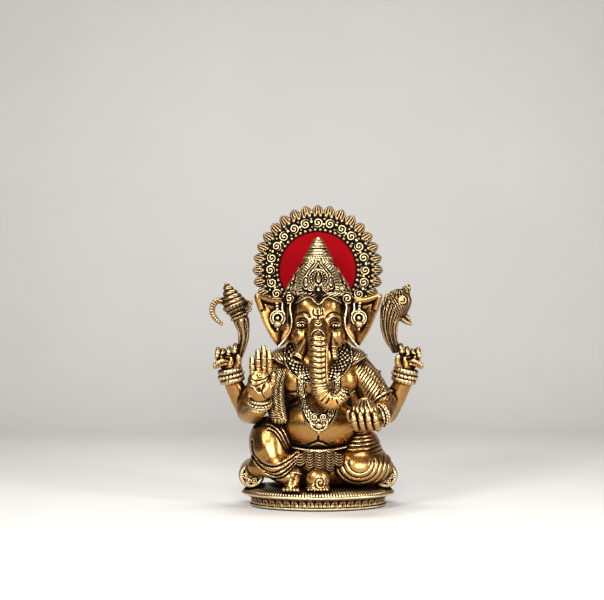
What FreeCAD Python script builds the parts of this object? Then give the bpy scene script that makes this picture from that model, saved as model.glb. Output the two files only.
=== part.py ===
"""A seated four-armed elephant-headed idol in antiqued gold-plated cast metal, 226 mm tall.

Units are millimetres. +Z is up, the figure faces -Y, and the origin is the middle of the base's
resting face. "Right" and "left" are the figure's own, so its right hand is on the -X side.

Each casting is a plain solid here: egg-shaped masses, tapered limbs and turned profiles. A piece
is cut back by the pieces made before it, so that neighbours meet face to face like brazed joints.
"""
import FreeCAD
import Part

import math
import os

V = FreeCAD.Vector
RIGHT, LEFT = -1, 1
SIDES = {"right": RIGHT, "left": LEFT}

# Driving dimensions
OVAL = 0.64                       # depth over width of the oval base and seat
BASE_R = 57.5                     # half width of the base's top rim
BASE_H = 11.0
FELT_T = 1.0                      # felt under the plinth's rim
WAIST_R = 49.5                    # half width of the base's waist
WALL = 3.0                        # casting wall
SEAT_H = 3.5                      # height of the gadrooned seat plate
SEAT_Z = BASE_H + SEAT_H          # where the figure sits
BOLSTER_X, BOLSTER_R, BOLSTER_END_R = 49.5, 10.0, 7.8
BOLSTER_FRONT, BOLSTER_BACK = -14.0, 24.0
HALO_Z, HALO_Y = 176.5, 16.0      # halo's centre height and front face
HALO_IN_R, HALO_RING_R, HALO_TIP_R = 28.7, 45.2, 49.8
HALO_T = 3.0                      # ring thickness
DISC_T = 1.2
PETALS = 32
CROWN_Y = -4.0                    # crown axis
CROWN_BASE_Z, CROWN_TOP_Z, TIP_Z = 156.0, 184.0, 200.0
CROWN_DEPTH = 0.86                # crown's depth over its width
SCREW_R, SCREW_HEAD_R, SCREW_HEAD_H = 1.5, 2.8, 1.8
STRAP_W, STRAP_T = 10.0, 2.0
SCREW_SPACING = 36.0              # base screws, centre to centre
HALO_SCREW_DX = 33.0              # halo screws, off the centre line

# The egg-shaped masses of the figure: centre and half sizes
BELLY = ((0, -7, 62), (29, 24, 22))
CHEST = ((0, 3, 94), (34, 19, 24))
BACK = ((0, 10, 72), (27, 17, 34))
NECK = ((0, 0, 116), (15, 13, 12))
SHOULDERS = tuple(((side * 21, 1, 107), (12, 12, 12)) for side in SIDES.values())
TORSO = (BELLY, CHEST, BACK, NECK, *SHOULDERS)
HIPS = ((0, 6, 30), (44, 27, 19))
SKULL = ((0, -8, 139), (20.5, 19, 20))
RIGHT_KNEE = ((-34.5, -8, 48.5), (17, 20, 19.5))
LEFT_KNEE = ((31, -8.5, 30.5), (25, 21, 15.5))
LEFT_HIP = ((30, 1, 45), (17, 16, 14))

pieces = {}
boxes = {}                        # each piece's tight bounding box


# ---- helpers ----

def biggest(shape):
    """The largest solid of a shape, without the slivers that a cut can leave."""
    return max(shape.Solids, key=lambda s: s.Volume)


def add(name, shape, parts=1):
    """Keeps a piece, cut back by every piece made before it. parts is how many solids it has."""
    room = shape.optimalBoundingBox(False, False)
    for other in pieces:
        if room.intersect(boxes[other]):
            shape = shape.cut(pieces[other])
    solids = sorted(shape.Solids, key=lambda s: -s.Volume)[:parts]
    pieces[name] = solids[0] if parts == 1 else Part.makeCompound(solids)
    boxes[name] = pieces[name].optimalBoundingBox(False, False)


def egg(centre, half, turn=None):
    """An ellipsoid. turn is (axis, degrees) about its own centre."""
    matrix = FreeCAD.Matrix()
    matrix.scale(*half)
    shape = Part.makeSphere(1).transformGeometry(matrix)
    if turn:
        shape.rotate(V(0, 0, 0), V(*turn[0]), turn[1])
    shape.translate(V(*centre))
    return shape


def fused(shapes):
    """One solid from overlapping shapes."""
    return biggest(shapes[0].fuse(shapes[1:]) if len(shapes) > 1 else shapes[0])


def grown(masses, by):
    """The masses with every half size grown by this much, or shrunk if it is negative."""
    return [egg(centre, [h + by for h in half]) for centre, half in masses]


def hollow(shape, masses):
    """The shape with the masses' insides taken out, a casting wall below the surface."""
    for core in grown(masses, -WALL):
        shape = shape.cut(core)
    return shape


def skin(masses, proud, outline):
    """A band lying on the masses: what the outline, a prism, takes of their grown skin."""
    return fused(grown(masses, proud)).common(outline).cut(fused(grown(masses, 0)))


def limb(stations):
    """A tapered limb with domed ends through stations (x, y, z, radius)."""
    points = [V(*s[:3]) for s in stations]
    radii = [s[3] for s in stations]
    tangents = []
    for i in range(len(points)):
        ahead = points[min(i + 1, len(points) - 1)] - points[max(i - 1, 0)]
        tangents.append(ahead.normalize())
    dome = [(1.0, 0.10), (0.86, 0.52), (0.5, 0.87)]      # along and across, as shares of the radius
    rings = [(points[0] - tangents[0] * radii[0] * a, tangents[0], radii[0] * r) for a, r in dome]
    rings += list(zip(points, tangents, radii))
    rings += [(points[-1] + tangents[-1] * radii[-1] * a, tangents[-1], radii[-1] * r)
              for a, r in reversed(dome)]
    turn = FreeCAD.Rotation(V(0, 0, 1), rings[0][1])
    wires = []
    for i, (point, tangent, radius) in enumerate(rings):
        if i:
            turn = FreeCAD.Rotation(rings[i - 1][1], tangent).multiply(turn)
        circle = Part.Wire(Part.makeCircle(radius))
        circle.Placement = FreeCAD.Placement(point, turn)
        wires.append(circle)
    return Part.makeLoft(wires, True, False)


def turned(profile, centre=(0, 0, 0), depth=1.0, axis=(0, 0, 1)):
    """A solid of revolution from (radius, height) points about +Z, then tipped onto axis."""
    line = [V(0, 0, profile[0][1])] + [V(r, 0, h) for r, h in profile] + [V(0, 0, profile[-1][1])]
    face = Part.Face(Part.makePolygon(line + line[:1]))
    shape = face.revolve(V(0, 0, 0), V(0, 0, 1), 360)
    if depth != 1.0:
        matrix = FreeCAD.Matrix()
        matrix.scale(1, depth, 1)
        shape = shape.transformGeometry(matrix)
    shape.Placement = FreeCAD.Placement(V(*centre), FreeCAD.Rotation(V(0, 0, 1), V(*axis)))
    return biggest(shape)


def ring(centre, axis, outer, inner, height):
    """A plain band about an axis, centred on a point."""
    axis = V(*axis).normalize()
    start = V(*centre) - axis * (height / 2)
    return Part.makeCylinder(outer, height, start, axis).cut(
        Part.makeCylinder(inner, height, start, axis))


def prism(points, y_from, y_to):
    """A closed smooth outline in the XZ plane, extruded along Y."""
    curve = Part.BSplineCurve()
    curve.interpolate([V(x, y_from, z) for x, z in points], PeriodicFlag=True)
    face = Part.Face(Part.Wire(curve.toShape()))
    return face.extrude(V(0, y_to - y_from, 0))


def oval_cylinder(x, z, half_x, half_z, y_from, y_to):
    """An oval bar along Y."""
    matrix = FreeCAD.Matrix()
    matrix.scale(half_x, 1, half_z)
    shape = Part.makeCylinder(1, y_to - y_from, V(0, 0, 0), V(0, 1, 0)).transformGeometry(matrix)
    shape.translate(V(x, y_from, z))
    return shape


def on_side(side, stations):
    """Stations written with x outwards, placed on the right or left side."""
    return [(side * x, *rest) for x, *rest in stations]


# ---- base ----

def make_base():
    foot_r = WAIST_R + 1.5
    outer = [(foot_r, FELT_T), (foot_r, 2), (WAIST_R, 2.8), (WAIST_R, 6), (51.2, 7.8), (55.5, 9),
             (BASE_R, 9.6), (BASE_R, BASE_H)]
    inner = [(foot_r - WALL, FELT_T), (WAIST_R - WALL, 2.8), (WAIST_R - WALL, BASE_H - WALL)]
    felt_r = foot_r - 0.6
    rim = Part.Wire(Part.Ellipse(V(0, 0, 0), felt_r, felt_r * OVAL).toShape())
    add("base_felt", Part.Face(rim).extrude(V(0, 0, FELT_T)))
    plinth = turned(outer, depth=OVAL).cut(turned(inner, depth=OVAL))
    for x in (-SCREW_SPACING / 2, SCREW_SPACING / 2):
        plinth = plinth.cut(Part.makeCylinder(SCREW_R, BASE_H, V(x, 4, 0)))
    add("base_plinth", plinth)
    screws = [Part.makeCylinder(SCREW_R, SEAT_H + WALL + 4, V(x, 4, BASE_H - WALL)).fuse(
        Part.makeCylinder(SCREW_HEAD_R, SCREW_HEAD_H, V(x, 4, BASE_H - WALL - SCREW_HEAD_H)))
        for x in (-SCREW_SPACING / 2, SCREW_SPACING / 2)]
    add("base_screws", Part.makeCompound(screws), parts=2)
    seat = turned([(56, BASE_H), (55.3, BASE_H + 1.6), (52, SEAT_Z)], depth=OVAL)
    add("seat_plate", seat)


def make_bolsters():
    half = (BOLSTER_BACK - BOLSTER_FRONT) / 2
    barrel = [(BOLSTER_END_R, -half), (BOLSTER_R - 0.4, -half * 0.55), (BOLSTER_R, 0),
              (BOLSTER_R - 0.4, half * 0.55), (BOLSTER_END_R, half)]
    middle_y = (BOLSTER_FRONT + BOLSTER_BACK) / 2
    for name, side in SIDES.items():
        centre = (side * BOLSTER_X, middle_y, SEAT_Z + BOLSTER_R - 1)
        add(f"{name}_bolster", turned(barrel, centre, axis=(0, 1, 0)))


# ---- body ----

def make_body():
    torso = hollow(fused(grown(TORSO, 0)), TORSO)
    add("torso", torso)
    add("hips", hollow(egg(*HIPS), [HIPS]))
    shin = limb([(-37, -17, 42, 12), (-29, -22, 32, 10), (-22, -25, 25, 7)])
    add("right_leg", hollow(fused(grown([RIGHT_KNEE], 0) + [shin]), [RIGHT_KNEE]))
    add("left_leg", fused(grown([LEFT_KNEE, LEFT_HIP], 0)))
    add("right_foot", fused([
        limb([(-18, -24, 25, 6), (-19, -28, 20.5, 6), (-20.5, -31, 18.5, 4.5)])]))
    add("left_foot", fused([
        egg((-0.5, -26, 22.5), (9.3, 7, 9.3)), egg((-0.5, -30, 17), (9, 4.5, 3.2))]))


def make_dress():
    """The bands and pleats that lie on the body."""
    pleats = prism([(-19, 43), (0, 46), (19, 43), (15, 33.5), (0, 30.5), (-15, 33.5)], -60, -17.2)
    apron = [((0, -8, 34), (32, 17.5, 17))]
    add("waist_sash", biggest(fused(grown(apron, 2.6)).common(pleats)))
    add("shawl", limb([(-31, -9, 103, 5), (-35, -13, 88, 6), (-33, -18, 72, 6), (-27, -22, 61, 5)]))
    loop = oval_cylinder(0, 95, 17.5, 33, -60, -2).cut(oval_cylinder(0, 95, 13, 27.5, -60, -2))
    below = Part.makeBox(80, 70, 40, V(-40, -62, 56))
    add("long_necklace", biggest(skin(TORSO, 1.5, loop.common(below))))
    add("pendant", egg((0.3, -31, 64.5), (7, 3, 7.6)))
    collar = oval_cylinder(0, 113, 27, 22, -60, 2).cut(oval_cylinder(0, 115, 15, 14, -60, 2))
    add("collar_necklace", biggest(skin(TORSO, 1.4, collar)))


# ---- head ----

def make_head():
    add("head", hollow(egg(*SKULL), [SKULL]))
    add("trunk", limb([(0, -23, 134, 9), (0, -30, 123, 8), (0, -34, 110, 7.4), (0.5, -36, 97, 7),
                       (2.5, -37, 86, 6.7), (8, -38, 80, 6.2), (14, -38, 81, 5.4),
                       (18, -37, 85.5, 4.2)]))
    add("right_tusk", limb([(-8.5, -25, 123, 3.3), (-12.5, -29.5, 116.5, 3.2),
                            (-15.3, -32.5, 111.5, 2.8)]))
    add("left_tusk", limb([(9.5, -25, 122, 3), (10.5, -29, 117, 2.8), (11, -31, 114, 2.4)]))
    outline = [(-49, 158), (-36, 156), (-22, 153.5), (-17, 140), (-20.5, 128), (-29, 119),
               (-36, 126.5), (-41.5, 137), (-45.5, 148)]
    for name, side in SIDES.items():
        ear = prism([(-side * x, z) for x, z in outline], -10, -5.5)
        ear.rotate(V(side * 18, -8, 140), V(0, 0, 1), -side * 14)
        add(f"{name}_ear", ear)
        loop = Part.makeTorus(3.4, 1.0, V(side * 30, -14.2, 140.5), V(0, 1, 0))
        drop = egg((side * 30, -14.2, 135.8), (3, 2.4, 3))
        stud = limb([(side * 29.5, -13.5, 151, 1.3), (side * 29.8, -14, 147.5, 1.2),
                     (side * 30, -14.2, 144, 1.1)])
        add(f"{name}_earring", fused([loop, drop, stud]))


def make_crown():
    centre = (0, CROWN_Y, 0)
    cap = turned([(22.5, CROWN_BASE_Z), (24, 158.5), (24, 161), (22.2, 165), (18.6, 171),
                  (14.5, 177.5), (10.2, CROWN_TOP_Z)], centre, CROWN_DEPTH)
    core = turned([(18, CROWN_BASE_Z), (18.6, 162), (11, 176)], centre, CROWN_DEPTH)
    add("crown", cap.cut(core))
    add("crown_finial", turned([(10.6, CROWN_TOP_Z), (10.8, 185.5), (8.4, 188.5), (6.3, 190.5),
                                (6.6, 192), (4.6, 194.5), (3.6, 197), (2.4, 199.2), (1, TIP_Z)],
                               centre, CROWN_DEPTH))
    add("crown_jewel", egg((0, -18.4, 170.5), (9.8, 3.2, 10.5), ((1, 0, 0), -33)))
    brow = prism([(-22, 147.5), (-14, 151.5), (-6, 153.5), (0, 150.5), (6, 153.5), (14, 151.5),
                  (22, 147.5), (24, 153), (14, 157.5), (0, 158), (-14, 157.5), (-24, 153)], -60, -6)
    add("brow_band", biggest(skin([SKULL], 2.2, brow)))


# ---- arms ----

def make_rear_arms():
    """The two upper hands, raised behind the shoulders, each holding an emblem."""
    for name, side in SIDES.items():
        upper = limb(on_side(side, [(28, 9, 106, 10), (42, 9, 89, 9.3), (51, 6, 71, 8)]))
        fore = limb(on_side(side, [(52, 5, 69, 8), (58, 2, 80, 7.6), (64, -1, 92.5, 6.6)]))
        add(f"rear_{name}_arm", fused([upper, fore]))
        stem = limb(on_side(side, [(59, -2, 112, 2.6), (56, -2, 122, 3.2), (55.5, -2, 131, 4),
                                   (57.5, -2, 140, 6)]))
        body = limb(on_side(side, [(59, -2, 146, 8.3), (62, -2, 152.5, 9), (65.5, -2, 159.5, 6),
                                   (68.6, -2, 164.8, 2.4)]))
        hook = limb(on_side(side, [(66, -2, 152, 2.4), (74, -2, 152.5, 2.4), (78, -2, 149, 2.4),
                                   (78.6, -2, 144.5, 2.2), (75.5, -2, 139, 2), (73, -2, 136, 1.6)]))
        curl = Part.makeTorus(2.6, 1.2, V(side * 52.6, -2, 152), V(0, 1, 0))
        if side == RIGHT:
            add("goad", fused([stem, body, hook, curl]))
        else:
            add("conch", fused([stem, body, curl]))
        palm = egg((side * 66, -3, 106), (7.5, 6, 9))
        grip = [limb(on_side(side, [(x, -8, 111, 2.3), (x - 1.5, -6.5, 116, 2.2),
                                    (x - 3.5, -2.5, 117, 2)])) for x in (73.5, 69, 64.5, 60.5)]
        thumb = limb(on_side(side, [(60, -6, 104, 2.5), (57, -5, 109, 2.3), (56, -3, 113, 2)]))
        add(f"rear_{name}_hand", fused([palm, thumb] + grip))
        add(f"rear_{name}_bracelet",
            ring((side * 65, -1.4, 96.5), (side * 0.22, -0.1, 1), 10, 5, 9.5))


def make_front_arms():
    upper = limb([(-27, 0, 101, 11), (-36, -2, 95, 11), (-44, -4, 86, 10.6), (-50, -8, 75, 9.6)])
    fore = limb([(-51, -9, 71, 9.2), (-48, -20, 71, 8), (-43.5, -30, 75, 6.8)])
    add("front_right_arm", fused([upper, fore]))
    palm = egg((-42.3, -35, 93), (9.4, 4.4, 12.5))
    rows = [[(x0, -35.5, 98, 1.9), (x1, -36, z - 8, 1.9), (x2, -35.5, z - 2.2, 1.7)]
            for x0, x1, x2, z in ((-48.2, -50.2, -50.4, 113.5), (-44.3, -45.5, -45.8, 118),
                                  (-40.1, -40.8, -41.2, 121.6), (-36, -36, -36.4, 119))]
    thumb = limb([(-36.5, -35.5, 88, 3.4), (-33, -37, 94, 3), (-31.9, -38, 99.5, 2.4)])
    add("front_right_hand", fused([palm, thumb] + [limb(row) for row in rows]))
    add("front_right_bracelet", ring((-42.6, -33, 79.2), (0.05, -0.35, 1), 8.8, 4.5, 7.5))

    upper = limb([(27, 0, 101, 11), (34, -2, 94, 11), (42, -5, 85, 10.8), (48.5, -9, 77, 9.8)])
    fore = limb([(49, -12, 74, 9.2), (46.5, -24, 70, 8.2), (42, -31, 67.5, 7)])
    add("front_left_arm", fused([upper, fore]))
    add("modak", fused([egg((33, -38, 72.5), (10.5, 8.6, 8.6)), egg((33.3, -38, 78.5), (4.4, 4.2, 4.8))]))
    palm = egg((34, -37, 64.5), (12.5, 8.5, 5.5))
    rows = [[(x, -42, 62.5, 3), (x - 0.5, -46.5, 65, 2.8), (x - 1, -47.5, 69.5, 2.4)]
            for x in (41, 35, 29, 23.5)]
    add("front_left_hand", fused([palm] + [limb(row) for row in rows]))
    add("front_left_bracelet", ring((45.5, -27.5, 69.5), (-0.6, -0.75, -0.25), 9.6, 5, 6))


# ---- halo ----

def make_halo():
    y0 = HALO_Y
    centre = V(0, y0, HALO_Z)
    along = V(0, 1, 0)
    plate = Part.makeCylinder(HALO_RING_R, HALO_T, centre, along)
    petal_r = HALO_RING_R * math.sin(math.pi / PETALS) * 0.98
    scallops = []
    for i in range(PETALS):
        petal = oval_cylinder(0, HALO_TIP_R - 6, petal_r, 6, 0, HALO_T - 0.6)
        petal.rotate(V(0, 0, 0), along, 360 * (i + 0.5) / PETALS)
        petal.translate(V(0, y0 + 0.3, HALO_Z))
        scallops.append(petal)
    ring_shape = plate.fuse(scallops).cut(Part.makeCylinder(HALO_IN_R, HALO_T, centre, along))
    recess = Part.makeCylinder(HALO_IN_R + 2, DISC_T, centre + along * (HALO_T - DISC_T), along)
    holes = [Part.makeCylinder(SCREW_R, HALO_T, V(side * HALO_SCREW_DX, y0, HALO_Z - 12), along)
             for side in SIDES.values()]
    for tool in [recess] + holes:
        ring_shape = ring_shape.cut(tool)
    add("halo_ring", ring_shape)
    disc = Part.makeCylinder(HALO_IN_R + 2, DISC_T, centre + along * (HALO_T - DISC_T), along)
    add("halo_disc", disc)
    back = y0 + HALO_T
    bar_z = HALO_Z - 12
    bar = Part.makeBox(2 * (HALO_SCREW_DX + 5), STRAP_T, STRAP_W,
                       V(-HALO_SCREW_DX - 5, back, bar_z - STRAP_W / 2))
    foot_z = 92.0
    drop = Part.makeBox(STRAP_W, STRAP_T, bar_z - foot_z,
                        V(-STRAP_W / 2, back, foot_z))
    pad = Part.makeBox(STRAP_W, 12, 14, V(-STRAP_W / 2, back - 12 + STRAP_T, foot_z))
    stay = bar.fuse([drop, pad])
    for side in SIDES.values():
        stay = stay.cut(Part.makeCylinder(SCREW_R, 10, V(side * HALO_SCREW_DX, back - 1, bar_z), along))
    stay_hole = V(0, back - 14, foot_z + 7)
    add("halo_stay", stay.cut(Part.makeCylinder(SCREW_R, 20, stay_hole, along)))
    spots = [(side * HALO_SCREW_DX, back + STRAP_T, bar_z, HALO_T + STRAP_T) for side in SIDES.values()]
    spots.append((0, back + STRAP_T, foot_z + 7, 12))
    screws = [Part.makeCylinder(SCREW_R, reach, V(x, y - reach, z), along).fuse(
        Part.makeCylinder(SCREW_HEAD_R, SCREW_HEAD_H, V(x, y, z), along))
        for x, y, z, reach in spots]
    add("halo_screws", Part.makeCompound(screws), parts=3)


def main():
    for make in (make_base, make_bolsters, make_body, make_dress, make_head, make_crown,
                 make_rear_arms, make_front_arms, make_halo):
        make()
    os.makedirs("parts", exist_ok=True)
    for name, shape in pieces.items():
        shape.exportStep(f"parts/{name}.step")
        box = boxes[name]
        print(f"{name:22s} valid {shape.isValid()} solids {len(shape.Solids)} "
              f"volume {shape.Volume:9.0f}  x {box.XMin:6.1f} {box.XMax:6.1f}  "
              f"y {box.YMin:6.1f} {box.YMax:6.1f}  z {box.ZMin:6.1f} {box.ZMax:6.1f}")


main()
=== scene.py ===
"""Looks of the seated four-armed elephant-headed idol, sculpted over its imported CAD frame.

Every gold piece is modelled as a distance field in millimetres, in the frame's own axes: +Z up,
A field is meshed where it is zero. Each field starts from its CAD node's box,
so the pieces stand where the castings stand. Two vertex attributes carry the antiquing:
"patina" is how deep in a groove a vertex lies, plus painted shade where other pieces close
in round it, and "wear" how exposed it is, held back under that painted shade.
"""
import functools
import math
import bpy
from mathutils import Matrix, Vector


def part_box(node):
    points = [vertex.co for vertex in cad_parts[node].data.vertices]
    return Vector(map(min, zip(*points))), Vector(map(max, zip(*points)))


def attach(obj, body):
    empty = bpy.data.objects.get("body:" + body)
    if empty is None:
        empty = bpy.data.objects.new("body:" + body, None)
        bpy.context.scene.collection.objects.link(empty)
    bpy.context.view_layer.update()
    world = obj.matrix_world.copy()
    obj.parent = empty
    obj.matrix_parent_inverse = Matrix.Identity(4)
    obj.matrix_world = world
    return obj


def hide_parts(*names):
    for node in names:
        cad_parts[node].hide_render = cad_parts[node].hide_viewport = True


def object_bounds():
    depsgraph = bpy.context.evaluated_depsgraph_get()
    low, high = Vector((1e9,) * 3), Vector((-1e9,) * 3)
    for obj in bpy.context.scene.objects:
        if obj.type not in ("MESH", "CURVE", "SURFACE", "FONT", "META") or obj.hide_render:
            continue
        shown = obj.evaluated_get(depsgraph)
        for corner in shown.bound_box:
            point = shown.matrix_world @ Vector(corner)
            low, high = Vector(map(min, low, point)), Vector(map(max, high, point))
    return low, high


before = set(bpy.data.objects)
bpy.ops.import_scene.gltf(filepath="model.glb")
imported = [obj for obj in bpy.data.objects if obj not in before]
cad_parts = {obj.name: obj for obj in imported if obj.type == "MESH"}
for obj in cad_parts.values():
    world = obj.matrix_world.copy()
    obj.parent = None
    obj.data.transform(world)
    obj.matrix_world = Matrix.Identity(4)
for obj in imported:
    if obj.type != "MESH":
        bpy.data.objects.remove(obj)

from concurrent.futures import ThreadPoolExecutor

import bpy
import numpy as np
import openvdb as vdb

CAD_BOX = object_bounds()
MM = 0.001
RIGHT, LEFT = -1, 1
SIDES = {"right": RIGHT, "left": LEFT}

# Sculpting
BLOCK = 8                  # voxels along a block's side; only blocks near the surface are worked out
CHUNK = 1 << 15            # points worked out at a time
THREADS = 4
COARSER = 1.0
PLAN_STEP = 0.2            # grid of a flat drawing, mm
OUT_OF_REACH = 3.0         # a limb further off than this isn't worked out exactly, mm
SHADE_STEP = 2.0           # grid of the whole figure, for the shading of corners, mm
SHADE_FAR = 10.0
SHADE_REACH = (1.2, 2.5, 5.0, 9.0)

skins = []                 # every sculpted piece: its name, node, field, voxel, finish


# ---- frame ----

@functools.lru_cache(None)
def box(node):
    """A CAD node's lowest and highest corners, in mm."""
    low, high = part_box(node)
    return np.array(low) / MM, np.array(high) / MM


@functools.lru_cache(None)
def mid(node):
    """The middle of a CAD node's box, in mm."""
    low, high = box(node)
    return (low + high) / 2


def near(node, dx, dy, dz):
    """A point given from the middle of a node's box, in mm."""
    return mid(node) + (dx, dy, dz)


def route(node, stations):
    """Stations (dx, dy, dz, radius) from the middle of a node's box, as (x, y, z, radius)."""
    middle = mid(node)
    return [(*(middle + s[:3]), s[3]) for s in stations]


def outward(node, side, stations):
    """Stations from the middle of a node's box, with x outwards from the figure."""
    return route(node, [(side * x, *rest) for x, *rest in stations])


# ---- fields ----

def length(*parts):
    total = parts[0] * parts[0]
    for part in parts[1:]:
        total = total + part * part
    return np.sqrt(total)


def join(a, b, soft):
    """The union of two fields, with a fillet about as wide as soft."""
    h = np.maximum(soft - np.abs(a - b), 0) / soft
    return np.minimum(a, b) - h * h * soft / 4


def cut(a, b, soft):
    """Field a with b taken out of it."""
    return -join(-a, b, soft)


def fade(t):
    """0 below 0, 1 above 1, smooth between."""
    t = np.clip(t, 0, 1)
    return t * t * (3 - 2 * t)


def ridges(t, sharp=0.6):
    """Round ridges of height 0 with sharp grooves of depth 1 at every whole t."""
    return np.abs(np.sin(np.pi * t)) ** sharp - 1


def groove(e, width):
    """1 on a line that is e away, falling to 0 over width."""
    return np.exp(-(e / width) ** 2)


def near_whole(t):
    """How far t is from the nearest whole number, with its sign."""
    return t - np.round(t)


def turned_by(axis, degrees):
    """A rotation matrix."""
    x, y, z = np.array(axis, float) / np.linalg.norm(axis)
    a = math.radians(degrees)
    k = np.array([[0, -z, y], [z, 0, -x], [-y, x, 0]])
    return np.eye(3) + math.sin(a) * k + (1 - math.cos(a)) * k @ k


def basis(axis):
    """Three unit rows: two across the axis, then the axis."""
    axis = np.array(axis, float) / np.linalg.norm(axis)
    side = np.cross((0, 0, 1) if abs(axis[2]) < 0.9 else (0, 1, 0), axis)
    side /= np.linalg.norm(side)
    return np.array([side, np.cross(axis, side), axis])


def local(p, centre, rows=None):
    """Points seen from centre, along the rows of a matrix if one is given."""
    q = p - np.array(centre, np.float32)[:, None]
    return q if rows is None else np.array(rows, np.float32) @ q


def egg(p, centre, half, rows=None):
    q = local(p, centre, rows)
    half = np.array(half, np.float32)[:, None]
    near_in = length(*(q / half))
    slope = length(*(q / half ** 2))
    return near_in * (near_in - 1) / np.maximum(slope, 1e-4)


def eggs(p, masses, soft):
    """Several ellipsoids run together."""
    d = egg(p, *masses[0])
    for mass in masses[1:]:
        d = join(d, egg(p, *mass), soft)
    return d


def bend(a, b, c, d, steps):
    """Points from b towards c on a smooth curve whose neighbours are a and d."""
    return [((2 * b) + (c - a) * t + (2 * a - 5 * b + 4 * c - d) * t ** 2
             + (3 * b - a - 3 * c + d) * t ** 3) / 2 for t in np.arange(steps) / steps]


def rounded(stations, steps=5):
    """Points of a smooth curve through the stations; the radius is carried along."""
    return smooth_path(tuple(tuple(float(v) for v in s) for s in stations), steps)


@functools.lru_cache(None)
def smooth_path(stations, steps):
    pts = np.array(stations)
    ends = np.vstack([2 * pts[0] - pts[1], pts, 2 * pts[-1] - pts[-2]])
    out = []
    for four in zip(ends, ends[1:], ends[2:], ends[3:]):
        out += bend(*four, steps)
    return np.array(out + [pts[-1]])


def tube(p, stations, steps=5):
    """Distance to a tapered tube, length along it, and the way out from its axis (3 rows)."""
    path = rounded(stations, steps)
    reach = path[:, 3:]
    gap = max(np.max(np.min(path[:, :3] - reach, axis=0) - p.max(axis=1)),
              np.max(p.min(axis=1) - np.max(path[:, :3] + reach, axis=0)))
    if gap > OUT_OF_REACH:
        return np.full_like(p[0], gap), np.zeros_like(p[0]), np.ones_like(p)
    best = along = out = None
    run = 0.0
    for a, b in zip(path, path[1:]):
        ab = (b - a)[:3].astype(np.float32)
        span = float(ab @ ab)
        q = local(p, a[:3])
        t = np.clip((ab @ q) / span, 0, 1)
        off = q - ab[:, None] * t
        d = length(*off) - (a[3] + (b[3] - a[3]) * t)
        s = run + math.sqrt(span) * t
        run += math.sqrt(span)
        if best is None:
            best, along, out = d, s, off
        else:
            closer = d < best
            np.copyto(best, d, where=closer)
            np.copyto(along, s, where=closer)
            np.copyto(out, off, where=closer)
    return best, along, out


def path_length(stations, steps=5):
    path = rounded(stations, steps)
    return float(np.sum(np.linalg.norm(np.diff(path[:, :3], axis=0), axis=1)))


def string_of_beads(p, places, bead, steps=5):
    """Touching beads threaded on a curve through the places."""
    wire = [(*place, 0.0) for place in places]
    whole = path_length(wire, steps)
    count = round(whole / (bead * 2))
    pitch = whole / count
    off, along, _ = tube(p, wire, steps)
    step = along - pitch * (np.clip(np.floor(along / pitch), 0, count - 1) + 0.5)
    return length(off, step) - bead


def torus(p, centre, axis, big, small, flat=1.0):
    """A ring. flat over 1 makes its band wider along the axis."""
    a, b, h = local(p, centre, basis(axis))
    return length(length(a, b) - big, h / flat) - small


def polar(a, b):
    return length(a, b), np.arctan2(b, a)


def from_mark(turn, count, radius, shift=0.0):
    """Distance along a circle from the nearest of count even marks, with its sign.

    shift moves the marks, as a share of the step between two.
    """
    return near_whole(turn * count / (2 * np.pi) + shift) * 2 * np.pi * radius / count


def hand_at(turn, count, shift=0.0):
    """1 at one mark and -1 at the next, all round."""
    mark = np.round(turn * count / (2 * np.pi) + shift)
    return np.where(np.abs(mark) % 2 < 0.5, 1, -1)


def plan(drawn, low, high):
    """A flat drawing worked out once on a grid. drawn(u, v) gives one or more values there.

    The result is a function of (u, v) that gives those values anywhere.
    """
    counts = [int(math.ceil((b - a) / PLAN_STEP)) + 2 for a, b in zip(low, high)]
    u, v = np.meshgrid(*[a + PLAN_STEP * np.arange(n) for a, n in zip(low, counts)], indexing="ij")
    grids = [g.astype(np.float32) for g in drawn(u, v)]

    def at(u, v):
        s = np.clip((u - low[0]) / PLAN_STEP, 0, counts[0] - 1.01)
        t = np.clip((v - low[1]) / PLAN_STEP, 0, counts[1] - 1.01)
        i, j = s.astype(np.int32), t.astype(np.int32)
        s, t = s - i, t - j
        first = i * counts[1] + j
        out = []
        for g in grids:
            flat = g.ravel()
            left = flat[first] * (1 - t) + flat[first + 1] * t
            right = flat[first + counts[1]] * (1 - t) + flat[first + counts[1] + 1] * t
            out.append(left * (1 - s) + right * s)
        return out[0] if len(out) == 1 else out
    return at


def lines_plan(lines, steps=4, spare=4.0):
    """Distance to the nearest of several smooth lines of (u, v) points, and length along it."""
    every = np.array([pt for line in lines for pt in line], float)

    def drawn(u, v):
        best = np.full_like(u, 1e9)
        along = np.zeros_like(u)
        for line in lines:
            run = 0.0
            pts = rounded([(a, b, 0, 0) for a, b in line], steps)
            for a, b in zip(pts, pts[1:]):
                bx, by = b[0] - a[0], b[1] - a[1]
                span = bx * bx + by * by
                qx, qy = u - a[0], v - a[1]
                t = np.clip((qx * bx + qy * by) / span, 0, 1)
                off = (qx - bx * t) ** 2 + (qy - by * t) ** 2
                closer = off < best
                best = np.where(closer, off, best)
                along = np.where(closer, run + t * math.sqrt(span), along)
                run += math.sqrt(span)
        return np.sqrt(best), along
    return plan(drawn, every.min(axis=0) - spare, every.max(axis=0) + spare)


def shape_plan(points, steps=4, spare=6.0):
    """Signed distance to a closed smooth outline, negative inside."""
    every = np.array(points, float)
    return plan(lambda u, v: (outline(u, v, points, steps),),
                every.min(axis=0) - spare, every.max(axis=0) + spare)


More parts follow.
